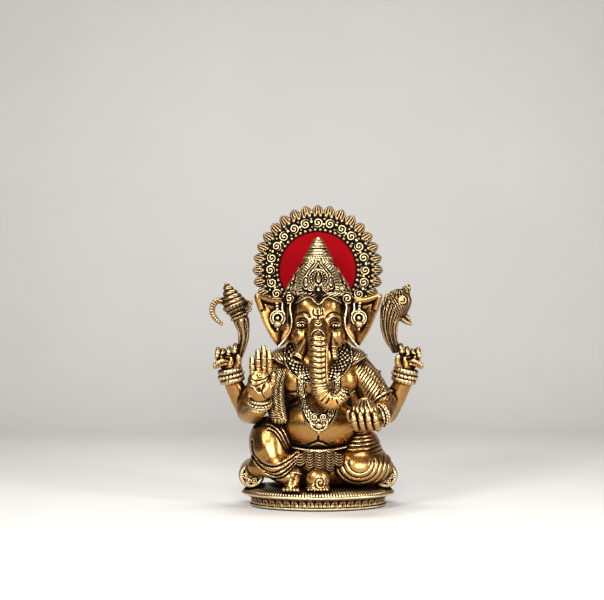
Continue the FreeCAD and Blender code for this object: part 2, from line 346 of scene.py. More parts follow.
def outline(u, v, points, steps=4):
    """Signed distance in a plane to a closed smooth outline, negative inside."""
    pts = np.array(points, float)
    n = len(pts)
    ring = []
    for i in range(n):
        ring += bend(pts[i - 1], pts[i], pts[(i + 1) % n], pts[(i + 2) % n], steps)
    best = np.full_like(u, 1e9)
    inside = np.zeros(u.shape, bool)
    for a, b in zip(ring, ring[1:] + ring[:1]):
        ab = b - a
        qx, qy = u - a[0], v - a[1]
        t = np.clip((qx * ab[0] + qy * ab[1]) / max(float(ab @ ab), 1e-9), 0, 1)
        best = np.minimum(best, (qx - ab[0] * t) ** 2 + (qy - ab[1] * t) ** 2)
        if b[1] != a[1]:
            crosses = (a[1] > v) != (b[1] > v)
            inside ^= crosses & (qx < ab[0] * (v - a[1]) / ab[1])
    d = np.sqrt(best)
    return np.where(inside, -d, d)


def oval(x, y, depth):
    """Distance out from the axis of an oval column in widths of its X radius, and its slope."""
    r = np.maximum(length(x, y / depth), 1e-3)
    return r, length(x / r, y / (depth * depth * r))


def oval_way(x, y, depth):
    """How far round an oval a point is, 0 to 1, by length of the rim and not by angle."""
    turn = np.linspace(-np.pi, np.pi, 241)
    rim = np.hypot(np.sin(turn), depth * np.cos(turn))
    way = np.concatenate([[0], np.cumsum((rim[1:] + rim[:-1]) / 2)])
    return np.interp(np.arctan2(y / depth, x), turn, way / way[-1]).astype(np.float32)


def spiral(u, v, radius, pitch, wire, hand=1):
    """A flat coil of wire, in the plane's own distance."""
    r, turn = polar(u, v)
    lap = hand * turn / (2 * np.pi)
    off = near_whole(r / pitch - lap) * pitch
    return np.maximum(np.abs(off) - wire, r - radius)


def slab(t, low, high):
    return np.maximum(low - t, t - high)


def spire_view(p, foot, tip):
    """Points seen along a spire: way out from its axis, turn, height over its foot, its length."""
    way = tip - foot
    a, b, h = local(p, foot, basis(way))
    r, turn = polar(a, b)
    return r, turn, h, float(np.linalg.norm(way))


# ---- from field to mesh ----

def even_darkening(amount):
    """The same darkening everywhere: patina on the emblems, stole and brow cords, painted shade on the ears
    and the right leg.
    """
    return lambda p: np.full(p.shape[1], amount, np.float32)


def sculpt(name, node, field, finish, voxel=0.45, spare=2.5, stands_for=True, stain_and_painted_shade=None):
    """Lists a piece. Its field is worked out inside its node's box plus spare mm.

    If given, stain is a function of points that adds to the patina there: patina on most pieces, painted
    shade on the ears and the right leg, painted light on the face.
    """
    low, high = box(node)
    skins.append({"name": name, "node": node, "field": field, "finish": finish,
                  "voxel": voxel * COARSER, "low": low - spare, "high": high + spare,
                  "stands_for": stands_for, "stain_and_painted_shade": stain_and_painted_shade})


def worked_out(field, points):
    """A field at any number of points, a chunk at a time."""
    out = np.empty(points.shape[1], np.float32)

    def work(start):
        part = slice(start, start + CHUNK)
        out[part] = field(points[:, part])
    with ThreadPoolExecutor(THREADS) as pool:
        list(pool.map(work, range(0, points.shape[1], CHUNK)))
    return out


def lattice(low, step, counts):
    axes = [low[k] + step * np.arange(counts[k]) for k in range(3)]
    return np.stack([g.ravel() for g in np.meshgrid(*axes, indexing="ij")]).astype(np.float32)


def field_grid(skin):
    """The piece's field on a fine grid, worked out only in the blocks that its surface crosses."""
    voxel, low = skin["voxel"], skin["low"]
    blocks = np.ceil((skin["high"] - low) / voxel / BLOCK).astype(int)
    side = BLOCK * voxel
    middles = lattice(low + (side - voxel) / 2, side, blocks)
    rough = worked_out(skin["field"], middles)
    far = 3 * voxel
    grid = np.broadcast_to(np.sign(rough).reshape(*blocks, 1, 1, 1) * far,
                           (*blocks, BLOCK, BLOCK, BLOCK)).astype(np.float32)
    grid = grid.reshape(-1, BLOCK ** 3)
    crossed = np.flatnonzero(np.abs(rough) < side * 1.25 + 1.6)
    inner = lattice(np.full(3, -(side - voxel) / 2), voxel, (BLOCK,) * 3)

    def work(start):
        some = crossed[start:start + CHUNK // BLOCK ** 3]
        points = middles[:, some, None] + inner[:, None, :]
        grid[some] = skin["field"](points.reshape(3, -1)).reshape(len(some), -1)
    with ThreadPoolExecutor(THREADS) as pool:
        list(pool.map(work, range(0, len(crossed), CHUNK // BLOCK ** 3)))
    grid = grid.reshape(*blocks, BLOCK, BLOCK, BLOCK).transpose(0, 3, 1, 4, 2, 5)
    grid = np.ascontiguousarray(grid.reshape(blocks * BLOCK))
    for axis in range(3):                      # a surface that leaves the grid is capped there
        edge = np.moveaxis(grid, axis, 0)
        edge[0] = edge[-1] = far
    return np.clip(grid, -far, far), far


def figure_grid():
    """The whole figure's distance on a coarse grid, for the shading of corners."""
    low = np.min([s["low"] for s in skins], axis=0) - SHADE_FAR
    high = np.max([s["high"] for s in skins], axis=0) + SHADE_FAR
    counts = np.ceil((high - low) / SHADE_STEP).astype(int)
    whole = np.full(counts, SHADE_FAR, np.float32)
    for s in skins:
        first = np.floor((s["low"] - SHADE_FAR / 2 - low) / SHADE_STEP).astype(int)
        last = np.ceil((s["high"] + SHADE_FAR / 2 - low) / SHADE_STEP).astype(int)
        points = lattice(low + first * SHADE_STEP, SHADE_STEP, last - first)
        part = worked_out(s["field"], points).reshape(last - first)
        room = tuple(slice(a, b) for a, b in zip(first, last))
        whole[room] = np.minimum(whole[room], part)
    return low, whole


def sampled(grid, low, step, points):
    """A grid's values between its nodes."""
    q = np.clip((points - low) / step, 0, np.array(grid.shape) - 1.001)
    cell = q.astype(int)
    t = q - cell
    out = 0
    for dx in (0, 1):
        for dy in (0, 1):
            for dz in (0, 1):
                share = (np.abs(1 - dx - t[:, 0]) * np.abs(1 - dy - t[:, 1])
                         * np.abs(1 - dz - t[:, 2]))
                out = out + share * grid[cell[:, 0] + dx, cell[:, 1] + dy, cell[:, 2] + dz]
    return out


def face_normals(points, quads):
    normals = np.cross(points[quads[:, 2]] - points[quads[:, 0]],
                       points[quads[:, 3]] - points[quads[:, 1]])
    at_points = np.stack([np.bincount(quads.ravel(), np.repeat(normals[:, k], 4), len(points))
                          for k in range(3)], axis=1)
    return at_points / np.maximum(np.linalg.norm(at_points, axis=1), 1e-9)[:, None]


def sinks(points, quads, normals, voxel):
    """How far each vertex lies below its smoothed neighbourhood, small and broad, in mm."""
    a = quads.ravel()
    b = np.roll(quads, -1, axis=1).ravel()
    ends, others = np.concatenate([a, b]), np.concatenate([b, a])
    count = np.bincount(ends, minlength=len(points))[:, None]
    soft = points.copy()
    found = []
    laps = [max(2, round((reach / voxel) ** 2)) for reach in (0.8, 2.0)]
    for lap in range(1, laps[-1] + 1):
        soft = np.stack([np.bincount(ends, soft[others, k], len(points))
                         for k in range(3)], axis=1) / count
        if lap in laps:
            found.append(np.einsum("ij,ij->i", soft - points, normals))
    return found


def main_shells(points, quads):
    """Leaves out crumbs: shells with under a fiftieth of the largest one's vertices."""
    label = np.arange(len(points))
    a, b = quads[:, :2].ravel(), quads[:, 1:3].ravel()
    while True:
        lower = np.minimum(label[a], label[b])
        fresh = label.copy()
        np.minimum.at(fresh, a, lower)
        np.minimum.at(fresh, b, lower)
        np.minimum.at(fresh, label[a], lower)
        np.minimum.at(fresh, label[b], lower)
        fresh = fresh[fresh]
        if (fresh == label).all():
            break
        label = fresh
    size = np.bincount(label, minlength=len(points))
    kept = size[label] * 50 >= size.max()
    if kept.all():
        return points, quads
    fresh = np.cumsum(kept) - 1
    return points[kept], fresh[quads[kept[quads[:, 0]]]]


def new_object(name, points, faces):
    mesh = bpy.data.meshes.new(name)
    mesh.vertices.add(len(points))
    mesh.vertices.foreach_set("co", (points * MM).astype(np.float32).ravel())
    mesh.loops.add(faces.size)
    mesh.loops.foreach_set("vertex_index", faces.astype(np.int32).ravel())
    mesh.polygons.add(len(faces))
    mesh.polygons.foreach_set("loop_start", np.arange(0, faces.size, 4, dtype=np.int32))
    mesh.polygons.foreach_set("use_smooth", np.ones(len(faces), bool))
    mesh.update(calc_edges=True)
    obj = bpy.data.objects.new(name, mesh)
    bpy.context.scene.collection.objects.link(obj)
    return obj


def add_attribute(obj, name, values):
    layer = obj.data.attributes.new(name, "FLOAT", "POINT")
    layer.data.foreach_set("value", values.astype(np.float32))


def cast_piece(skin, shade_low, shade_grid):
    """Meshes one piece, with its antiquing and the shade painted into its corners."""
    grid, far = field_grid(skin)
    volume = vdb.FloatGrid(far)
    volume.copyFromArray(grid)
    points, quads = volume.convertToQuads()
    points, quads = main_shells(points.astype(np.float64), quads.astype(np.int64))
    points = points * skin["voxel"] + skin["low"]
    normals = face_normals(points, quads)
    small, broad = sinks(points, quads, normals, skin["voxel"])
    # corner is painted shade: how closely the whole figure closes in over each vertex, at a few reaches out
    # along its normal, laid into the colour as ambient occlusion
    corner = 0
    for reach in SHADE_REACH:
        room = sampled(shade_grid, shade_low, SHADE_STEP, points + normals * reach)
        corner = corner + np.clip(1 - room / reach, 0, 1) / len(SHADE_REACH)
    obj = new_object(skin["name"], points, quads)
    # real patina in grooves from the small and broad sinks, plus the painted shade of corners
    patina_and_shade = fade(small * 9) + fade(broad * 3.2) + 0.9 * fade(corner * 1.5 - 0.3)
    # each piece's own darkening: patina on most pieces, painted shade on the ears and the right leg, painted
    # light on the face
    if skin["stain_and_painted_shade"]:
        patina_and_shade = patina_and_shade + skin["stain_and_painted_shade"](points.T.astype(np.float32))
    add_attribute(obj, "patina_and_shade", np.clip(patina_and_shade, 0, 1))
    # wear is rubbed metal on raised places, kept out of the painted corner shade
    add_attribute(obj, "wear", fade(-small * 7) * (1 - fade(corner * 1.6 - 0.3)))
    obj.data.materials.append(FINISHES[skin["finish"]][0])
    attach(obj, "root")
    if skin["stands_for"]:
        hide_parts(skin["node"])
    return obj


# ---- materials ----

GOLD = (0.42, 0.22, 0.065)
PALE = (0.95, 0.76, 0.44)
SOFT_PALE = (0.70, 0.50, 0.24)
# near black of the patina in grooves, also laid into corners between pieces as painted shade
PATINA_AND_SHADE = (0.007, 0.003, 0.0015)
CLOUDED = (0.86, 0.78, 0.66)               # share of each colour left where the plating is cloudy
BROWNED_AND_SHADED = (0.55, 0.42, 0.28)               # share left where patina and painted corner shade begin


def material(name):
    """A new material, its nodes, links and Principled shader."""
    mat = bpy.data.materials.new(name)
    mat.use_nodes = True
    nodes, links = mat.node_tree.nodes, mat.node_tree.links
    return mat, nodes, links, nodes["Principled BSDF"]


def noise(nodes, links, scale, detail=4, rough=0.55):
    """Noise in the object's own metres."""
    where = nodes.new("ShaderNodeTexCoord")
    tex = nodes.new("ShaderNodeTexNoise")
    tex.inputs["Scale"].default_value = scale
    tex.inputs["Detail"].default_value = detail
    tex.inputs["Roughness"].default_value = rough
    links.new(where.outputs["Object"], tex.inputs["Vector"])
    return tex.outputs["Fac"]


def attribute(nodes, name):
    node = nodes.new("ShaderNodeAttribute")
    node.attribute_name = name
    return node.outputs["Fac"]


def mapped(nodes, links, value, low, high, to_low=0.0, to_high=1.0):
    node = nodes.new("ShaderNodeMapRange")
    node.interpolation_type = "SMOOTHSTEP"
    ends = {"From Min": low, "From Max": high, "To Min": to_low, "To Max": to_high}
    for socket, number in ends.items():
        node.inputs[socket].default_value = number
    links.new(value, node.inputs["Value"])
    return node.outputs["Result"]


def maths(nodes, links, kind, a, b):
    node = nodes.new("ShaderNodeMath")
    node.operation = kind
    for socket, value in zip(node.inputs, (a, b)):
        if isinstance(value, (int, float)):
            socket.default_value = value
        else:
            links.new(value, socket)
    return node.outputs["Value"]


def mixed(nodes, links, share, a, b):
    """A colour between a and b, each a colour or a socket."""
    node = nodes.new("ShaderNodeMix")
    node.data_type = "RGBA"
    links.new(share, node.inputs[0])
    for socket, value in ((node.inputs[6], a), (node.inputs[7], b)):
        if isinstance(value, tuple):
            socket.default_value = (*value, 1)
        else:
            links.new(value, socket)
    return node.outputs[2]


def bump(nodes, links, shader, height, depth, strength=1.0):
    node = nodes.new("ShaderNodeBump")
    node.inputs["Distance"].default_value = depth
    node.inputs["Strength"].default_value = strength
    links.new(height, node.inputs["Height"])
    links.new(node.outputs["Normal"], shader.inputs["Normal"])


def tinted(colour, shares):
    return tuple(c * share for c, share in zip(colour, shares))


def antique_gold(name, metal, pale, rough):
    """Plated metal: bright where hands and cloth reach, brown-black where patina collects in grooves and
    where shade is painted into corners between pieces.
    """
    mat, nodes, links, shader = material(name)
    cloud = noise(nodes, links, 90, 5)
    speck = noise(nodes, links, 900, 3)
    depth = attribute(nodes, "patina_and_shade")
    worn = attribute(nodes, "wear")
    drift = maths(nodes, links, "MULTIPLY_ADD", cloud, 0.5)
    drift.node.inputs[2].default_value = -0.27
    dark = mapped(nodes, links, maths(nodes, links, "ADD", depth, drift), 0.2, 0.62)
    tone = mixed(nodes, links, mapped(nodes, links, cloud, 0.38, 0.66), metal,
                 tinted(metal, CLOUDED))
    tone = mixed(nodes, links, worn, tone, pale)
    shade = mixed(nodes, links, mapped(nodes, links, depth, 0.03, 0.35), tone,
                  tinted(metal, BROWNED_AND_SHADED))
    links.new(mixed(nodes, links, dark, shade, PATINA_AND_SHADE), shader.inputs["Base Color"])
    links.new(mapped(nodes, links, dark, 0, 1, 1.0, 0.0), shader.inputs["Metallic"])
    links.new(mapped(nodes, links, dark, 0, 1, 0.5, 0.06), shader.inputs["Specular IOR Level"])
    grain = mapped(nodes, links, speck, 0.3, 0.7, rough - 0.05, rough + 0.08)
    links.new(maths(nodes, links, "MAXIMUM", grain, mapped(nodes, links, dark, 0, 1, 0.0, 0.75)),
              shader.inputs["Roughness"])
    pits = maths(nodes, links, "ADD", maths(nodes, links, "MULTIPLY", speck, 0.35), cloud)
    bump(nodes, links, shader, pits, 0.00016, 0.6)
    return mat


def red_velvet():
    mat, nodes, links, shader = material("red_velvet")
    nap = noise(nodes, links, 1500, 2)
    brushed = noise(nodes, links, 60, 3)
    tone = mixed(nodes, links, mapped(nodes, links, nap, 0.3, 0.7),
                 (0.19, 0.0006, 0.002), (0.28, 0.001, 0.004))
    tone = mixed(nodes, links, mapped(nodes, links, brushed, 0.35, 0.65), tone, (0.24, 0.0008, 0.003))
    links.new(tone, shader.inputs["Base Color"])
    shader.inputs["Roughness"].default_value = 0.85
    shader.inputs["Specular IOR Level"].default_value = 0.05
    bump(nodes, links, shader, nap, 0.0002, 0.5)
    return mat


def brushed_brass():
    mat, nodes, links, shader = material("brushed_brass")
    where = nodes.new("ShaderNodeTexCoord")
    stretch = nodes.new("ShaderNodeMapping")
    stretch.inputs["Scale"].default_value = (40, 40, 1400)
    tex = nodes.new("ShaderNodeTexNoise")
    tex.inputs["Scale"].default_value = 1.0
    links.new(where.outputs["Object"], stretch.inputs["Vector"])
    links.new(stretch.outputs["Vector"], tex.inputs["Vector"])
    line = tex.outputs["Fac"]
    links.new(mixed(nodes, links, line, (0.42, 0.27, 0.09), (0.66, 0.45, 0.17)), shader.inputs["Base Color"])
    links.new(mapped(nodes, links, line, 0.2, 0.8, 0.28, 0.5), shader.inputs["Roughness"])
    shader.inputs["Metallic"].default_value = 1.0
    bump(nodes, links, shader, line, 0.0001, 0.4)
    return mat


def steel(name, low, high):
    """Screw steel between two greys: zinc plated under the base, blackened on the halo."""
    mat, nodes, links, shader = material(name)
    spangle = noise(nodes, links, 700, 4)
    links.new(mixed(nodes, links, mapped(nodes, links, spangle, 0.35, 0.65), low, high),
              shader.inputs["Base Color"])
    links.new(mapped(nodes, links, spangle, 0.3, 0.7, 0.24, 0.46), shader.inputs["Roughness"])
    shader.inputs["Metallic"].default_value = 1.0
    bump(nodes, links, shader, spangle, 0.00008, 0.5)
    return mat


def black_felt():
    mat, nodes, links, shader = material("black_felt")
    fluff = noise(nodes, links, 2200, 4, 0.7)
    tone = mixed(nodes, links, mapped(nodes, links, fluff, 0.3, 0.7),
                 (0.008, 0.008, 0.009), (0.035, 0.034, 0.036))
    links.new(tone, shader.inputs["Base Color"])
    shader.inputs["Roughness"].default_value = 0.95
    shader.inputs["Sheen Weight"].default_value = 0.3
    bump(nodes, links, shader, fluff, 0.0003, 0.7)
    return mat


GOLDS = {                                  # metal, where it is rubbed pale, roughness
    "figure": (GOLD, SOFT_PALE, 0.27),
    "ornament": ((0.40, 0.27, 0.13), (0.80, 0.62, 0.35), 0.30),
    "crown": ((0.48, 0.33, 0.17), PALE, 0.30),
    "base": ((0.38, 0.235, 0.11), PALE, 0.32),
    "halo": ((0.29, 0.20, 0.095), (0.53, 0.40, 0.21), 0.32),
}
FINISHES = {finish: (antique_gold(f"{finish}_gold", *look), f"{finish}_gold")
            for finish, look in GOLDS.items()}     # each finish's material, and a name that nothing here reads
FINISHES["cloth"] = (red_velvet(), "halo_cloth")


# ---- base ----

OVAL = 0.64                                # depth over width of the base and the seat
BASE_PETALS = 44
BASE_BEADS = 132
FLUTES = 140                               # ribs round the seat's edge


def petal_row(way, z, count, low, high, round_top):
    """Height, 0 to 1, of a row of upright petals. way is 0 to 1 round the rim."""
    across = near_whole(way * count) * 2
    up = (z - low) / (high - low)
    edge = 1 - np.abs(across) ** round_top
    lobe = fade((edge - up) * 3 + 0.4)
    rib = 1 - 0.35 * groove(across, 0.12) - 0.25 * groove(np.abs(across) - 0.5, 0.1)
    return lobe * rib * (up > 0) * (up < 1.05)


def plinth_field():
    low, high = box("base_plinth")
    rim = high[0]
    bottom, top = low[2], high[2]
    waist = rim - 8.0
    stations = [(bottom, rim - 6.6), (bottom + 1.0, rim - 6.4), (bottom + 1.6, waist),
                (bottom + 4.0, waist - 0.3), (top - 3.8, waist + 0.8), (top - 2.0, rim - 2.2),
                (top - 1.6, rim - 0.3), (top, rim)]
    heights, radii = np.array(stations).T

    def field(p):
        x, y, z = p
        r, slope = oval(x, y, OVAL)
        way = oval_way(x, y, OVAL)
        wall = np.interp(z, heights, radii)
        wall = wall + 0.9 * petal_row(way, z, BASE_PETALS, bottom + 1.7, top - 2.4, 2.4)
        bead = length(from_mark(way * 2 * np.pi, BASE_BEADS, rim * 0.82), z - bottom - 0.7)
        wall = wall + 0.45 * fade(1.5 - bead * 1.4)
        d = (r - wall) / slope
        hollow = (r - waist + 3.4) / slope
        d = cut(d, np.maximum(hollow, z - top + 3.0), 0.4)
        return np.maximum(d, slab(z, bottom, top))
    return field


def seat_stain(p):
    """Patina between the ribs of the seat's edge."""
    x, y, _ = p
    r, _ = oval(x, y, OVAL)
    between = groove(near_whole(oval_way(x, y, OVAL) * FLUTES), 0.2)
    return 0.8 * between * fade(r - box("seat_plate")[1][0] + 7.5)


def seat_field():
    low, high = box("seat_plate")
    rim = high[0]
    bottom, top = low[2], high[2]

    def field(p):
        x, y, z = p
        r, slope = oval(x, y, OVAL)
        way = oval_way(x, y, OVAL)
        up = np.clip((z - bottom) / (top - bottom), 0, 1)
        wall = rim + 0.3 - 5.6 * up ** 2.6
        flute = ridges(way * FLUTES, 0.5)
        wall = wall + 1.3 * flute * fade((up - 0.06) * 8)
        inner = 0.22 * ridges(way * 74 + r / 9, 0.9) + 0.16 * ridges(r / 2.6, 0.9)
        lid = top + inner * fade((rim - 7 - r) / 2) + 1.0 * flute * fade((r - rim + 8) / 2) - z
        return np.maximum(np.maximum((r - wall) / slope, bottom - z), -lid)
    return field


def bolster_field(name):
    node = f"{name}_bolster"
    low, high = box(node)
    middle = (low + high) / 2
    half = (high - low) / 2

    def field(p):
        x, y, z = local(p, middle)
        r, turn = polar(x, z)
        t = y / half[1]
        barrel = half[2] - 2.0 * t ** 4 - 0.1
        scales = ridges(turn * 9 / np.pi + np.floor(y / 2.6) * 0.5, 0.8) + ridges(y / 2.6, 0.8)
        cuff = fade((np.abs(t) - 0.62) * 12)
        rope = ridges(turn * 20 / np.pi + y * 0.5, 0.8)
        barrel = barrel + 0.34 * scales * (1 - cuff) + cuff * (0.5 + 0.4 * rope)
        cap = rosette(r, turn, half[2] - 2.4)
        return np.maximum((r - barrel) * 0.9, np.abs(y) - half[1] + 0.9 - cap)
    return field


def rosette(r, turn, radius):
    """Height of a flower with a boss, curled petals and a roped rim, in mm."""
    petals = 6
    fold = near_whole(turn * petals / (2 * np.pi)) * (2 * np.pi / petals)
    off = length(r * np.cos(fold) - radius * 0.56, r * np.sin(fold))
    curl = ridges(off / 1.15, 0.8) * fade((radius * 0.36 - off) * 2)
    leaf = 0.9 * fade((radius * 0.36 - off) * 1.6)
    boss = 1.3 * fade((radius * 0.27 - r) * 1.6) - 0.4 * groove(r - radius * 0.12, 0.3)
    rim = 0.9 * fade((r - radius * 0.84) * 3) * (1 + 0.4 * ridges(turn * 14 / np.pi, 0.8))
    return np.maximum(leaf + 0.5 * curl, boss) + rim - 0.5


# ---- body ----

BELLY = (near("torso", 0, -5, -21), (29, 24, 22))
CHEST = (near("torso", 0, 5, 11), (34, 19, 24))
BACK = (near("torso", 0, 12, -11), (27, 17, 34))
NECK = (near("torso", 0, 2, 33), (15, 13, 12))
SHOULDERS = [(near("torso", side * 21, 3, 24), (12, 12, 12)) for side in SIDES.values()]
HIPS = (mid("hips") + (0, 0, -1), (44, 27, 19))
RIGHT_KNEE = (near("right_leg", -1.3, 2, 5.5), (17, 20, 19.5))
LEFT_KNEE = (near("left_leg", -2.2, -2.2, -6.5), (25, 21, 15.5))
LEFT_HIP = (near("left_leg", -3.2, 7.2, 8), (17, 16, 14))
APRON = (near("torso", 0, -6, -49), (34, 19.5, 19))
SKULL = (mid("head") + (0, 0, -0.2), (20.5, 19, 20))


def seen(p, drawing):
    """Distance, seen from the front, to a drawing's lines."""
    return drawing(p[0], p[2])[0]


def lines_on(node, lines):
    """A drawing seen from the front, its lines written from the middle of a node's box."""
    middle = mid(node)
    return lines_plan([[(middle[0] + dx, middle[2] + dz) for dx, dz in line] for line in lines])


def front(p, behind_y, over=4.0):
    """1 on the figure's front, 0 behind behind_y."""
    return fade((behind_y - p[1]) / over)


def skin_of_torso(p):
    d = eggs(p, [BELLY, CHEST, BACK, NECK, *SHOULDERS], 6)
    for side in SIDES.values():
        d = join(d, egg(p, near("torso", side * 15.5, -5, 10), (15, 10.4, 12.5)), 5)
    return d


NAVEL = lines_on("torso", [[(-0.2, -28.8), (-0.3, -32.0)],
                           [(-7, -35.0), (-3.6, -33.2), (-0.3, -32.0)],
                           [(-0.3, -32.0), (3.2, -33.1), (6.4, -34.8)]])
UNDER_CHEST = lines_on("torso", [[(-29, 4.5), (-21, 2.6), (-13, 4), (-9, 7)],
                                 [(29, 5.5), (22, 2), (15, 2.2), (10, 4.5)],
                                 [(-26, -7.8), (-20, -4.6), (-14.2, -1.6)],
                                 [(-26, -11.6), (-20, -8.2), (-13.4, -5)]])
THREAD = lines_on("torso", [[(27, 30), (16, 15), (2, -4), (-12, -20), (-27, -32)],
                            [(24, 33), (13, 18), (-1, -1), (-15, -17), (-28, -27)]])


def torso_stain(p):
    """Patina in the lines on the belly and under the chest."""
    return front(p, -4) * (groove(seen(p, NAVEL), 0.7) + groove(seen(p, UNDER_CHEST), 0.6))


def torso_field(p):
    d = skin_of_torso(p)
    for side in SIDES.values():
        d = join(d, egg(p, near("torso", side * 27, 3, -4), (6.5, 8, 13)), 4)
    face = front(p, -4)
    d = d + face * 1.4 * groove(seen(p, NAVEL), 0.8)
    d = d + face * 1.0 * groove(seen(p, UNDER_CHEST), 0.75)
    x, y, _ = local(p, mid("torso"))
    rear = fade((y - 10) / 4)
    thread = seen(p, THREAD)
    return d + rear * (0.9 * groove(x, 1.6) + 0.5 * groove(thread, 2.4) - 1.5 * groove(thread, 0.9))


def hips_field(p):
    """The seat of the dhoti, with pleats that fan out behind."""
    x, y, z = local(p, mid("hips"))
    d = np.maximum(egg(p, *HIPS), -z - 16.5)
    fan = polar(x, z + 16)[1]
    folds = ridges(fan * 17 / np.pi, 0.7)
    return d - 0.7 * folds * fade((y + 6) / 8)


LEFT_UPPER = 2.75                           # spacing of the folds over the left thigh
RIGHT_TOP = lines_on("right_leg", [[(-7, 21.4), (0, 20.4), (6.2, 15.2), (10.4, 6.3), (13, -0.5)],
                                   [(-7, 18.6), (-1, 17.6), (4, 13.6), (8.4, 5.5), (11.5, -1.3)],
                                   [(-3.5, 15.6), (1, 13.6), (5.4, 7.6), (10, -0.5)]])
RIGHT_HEM = lines_on("right_leg", [[(-15.5, 7), (-14, -2), (-7.2, -8.7), (1.7, -10.2), (10.7, -6.5),
                                    (18, -1.3)],
                                   [(-15, -4), (-10.2, -10.2), (-1.3, -14.7), (7.7, -11.7), (16.6, -4.9)],
                                   [(-5.7, -14.7), (3.2, -17), (12, -11.7), (19.5, -4.3)],
                                   [(-2.7, -20.7), (7.7, -17.7), (16.6, -10.2), (20, -5)]])


def right_leg_field(p):
    """The raised knee in the dhoti's cloth, its folds drawn as lines."""
    shin = route("right_leg", [(-3.8, -7, -1, 12), (4.2, -12, -11, 10), (11.2, -15, -18, 7)])
    hem = route("right_leg", [(-12, -6, -12, 7), (0, -14, -13, 6), (12, -14, -8, 5), (18, -13, -3, 3.6)])
    d = join(egg(p, *RIGHT_KNEE), tube(p, shin, 3)[0], 5)
    d = join(d, tube(p, hem, 3)[0], 4)
    face = front(p, -9, 6)
    d = d + face * 1.15 * groove(seen(p, RIGHT_TOP), 0.62)
    d = d + face * 1.3 * groove(seen(p, RIGHT_HEM), 0.72)
    x, y, z = local(p, mid("right_leg"))
    dent = ridges((x * 0.8 + z * 0.35) / 6.5, 1.5) * fade((12 - np.abs(z - 4)) / 4) * fade((2 - x) / 6)
    d = d - 0.3 * face * dent
    fan = ridges((y + z * 0.25) / 3.4, 0.8)
    return d - 0.55 * fan * fade((-x - 10) / 5) * (1 - face)


def left_leg_field(p):
    """The flat left knee: nested round folds below, slanting folds over the thigh."""
    x, _, z = local(p, mid("left_leg"))
    d = join(egg(p, *LEFT_KNEE), egg(p, *LEFT_HIP), 7)
    d = np.maximum(d, -z - 22.4)
    face = front(p, -1, 6)
    r, turn = polar(x + 2.5, z + 1.5)
    low_half = fade((0.35 - np.sin(turn)) * 4) * fade((r - 6.4) / 1.5)
    d = d - face * 1.15 * ridges((r + 0.10 * x) / 3.75, 0.5) * low_half
    across = z - 0.09 * (x + 8) - 0.004 * x * x
    upper = fade((z - 3.2) / 2) * fade((19 - x - 0.9 * (z - 3)) / 4)
    d = d - face * 1.0 * ridges(across / LEFT_UPPER, 0.55) * upper
    rear = 1 - face
    return d - 0.5 * rear * ridges((z + 0.25 * x) / 4.2, 0.8)


TOE_SHAPE = np.array([1, 1.5, 1.05])       # half sizes in toe radii
NAIL_SHAPE = np.array([0.55, 0.5, 0.4])
NAIL_PLACE = np.array([0, -1.35, 0.75])


def toes(p, node, spots, radius):
    """Toes with nails: eggs in a row, each longer than wide. spots are (dx, dy, dz)."""
    d = None
    for dx, dy, dz in spots:
        c = near(node, dx, dy, dz)
        toe = egg(p, c, radius * TOE_SHAPE)
        toe = cut(toe, egg(p, c + radius * NAIL_PLACE, radius * NAIL_SHAPE), 0.2)
        d = toe if d is None else join(d, toe, 0.35)
    return d


def right_foot_field(p):
    foot = route("right_foot", [(0.8, 4, 4.5, 6), (-0.5, -0.5, -2, 5.6), (-1.6, -3.4, -4.6, 4.2)])
    d = tube(p, foot, 3)[0]
    anklet = torus(p, near("right_foot", 1, 2.2, 2.5), (0, -0.6, -1), 6.0, 0.8)
    d = join(d, anklet, 0.4)
    spots = [(-6.6 + 2.5 * i, -5.2 - 0.55 * i, -6.2) for i in range(5)]
    return join(d, toes(p, "right_foot", spots, 1.5), 0.7)


def left_foot_field(p):
    d = join(egg(p, near("left_foot", 0, 0.7, -0.6), (9.3, 7, 9.3)),
             egg(p, near("left_foot", 0, -3.2, -6.2), (9, 4.5, 3.2)), 2)
    x, _, z = local(p, near("left_foot", 1.6, 0, -1.8))
    r, turn = polar(x, z)
    swirl = near_whole(r / 2.5 - turn / (2 * np.pi))
    face = front(p, mid("left_foot")[1] + 1, 3)
    d = d + face * 0.75 * groove(swirl, 0.17) * fade((5.6 - r) / 1.5)
    spots = [(-6.8 + 2.25 * i, -6.4 + 0.06 * (i - 3) ** 2, -6.8) for i in range(7)]
    return join(d, toes(p, "left_foot", spots, 1.25), 0.5)


# ---- dress ----

RUFFLES = ((-14.2, 4.6, 4.0), (-6.9, 3.4, 1.0), (0.4, 4.4, -2.4), (8.0, 3.6, -0.6), (15.0, 4.4, 3.4))
RUFFLE_SAG = 3.0
RUFFLE_PITCH = 1.9


def ruffle_view(p):
    """Where points are in the sash, and in its nearest group of hanging folds.

    RUFFLES holds each group's place across, its half width and how low it hangs. The result is
    x, y, z, the way across the group (0 to 1 at its edge), its bulge there (1 to 0) and its low.
    """
    x, y, z = local(p, near("torso", 0.4, 0, -46.2))
    across = np.full_like(x, 99)
    low = np.zeros_like(x)
    for dx, half, group_low in RUFFLES:
        u = np.abs((x - dx) / half)
        low = np.where(u < across, group_low, low)
        across = np.minimum(u, across)
    return x, y, z, across, np.clip(1 - across * across, 0, 1), low


def ruffle_folds(z, bulge):
    """0 on a hanging fold's crest, -1 in the groove between two."""
    return ridges((z - 6 + RUFFLE_SAG * bulge) / RUFFLE_PITCH, 0.4)


def waist_sash_stain(p):
    """Patina between the nested folds and between the groups."""
    _, _, z, across, bulge, _ = ruffle_view(p)
    dark = np.maximum(0.25 - 1.8 * ruffle_folds(z, bulge), (across - 0.8) * 4)
    return np.clip(dark, 0.1, 1) * (z < 6.2)


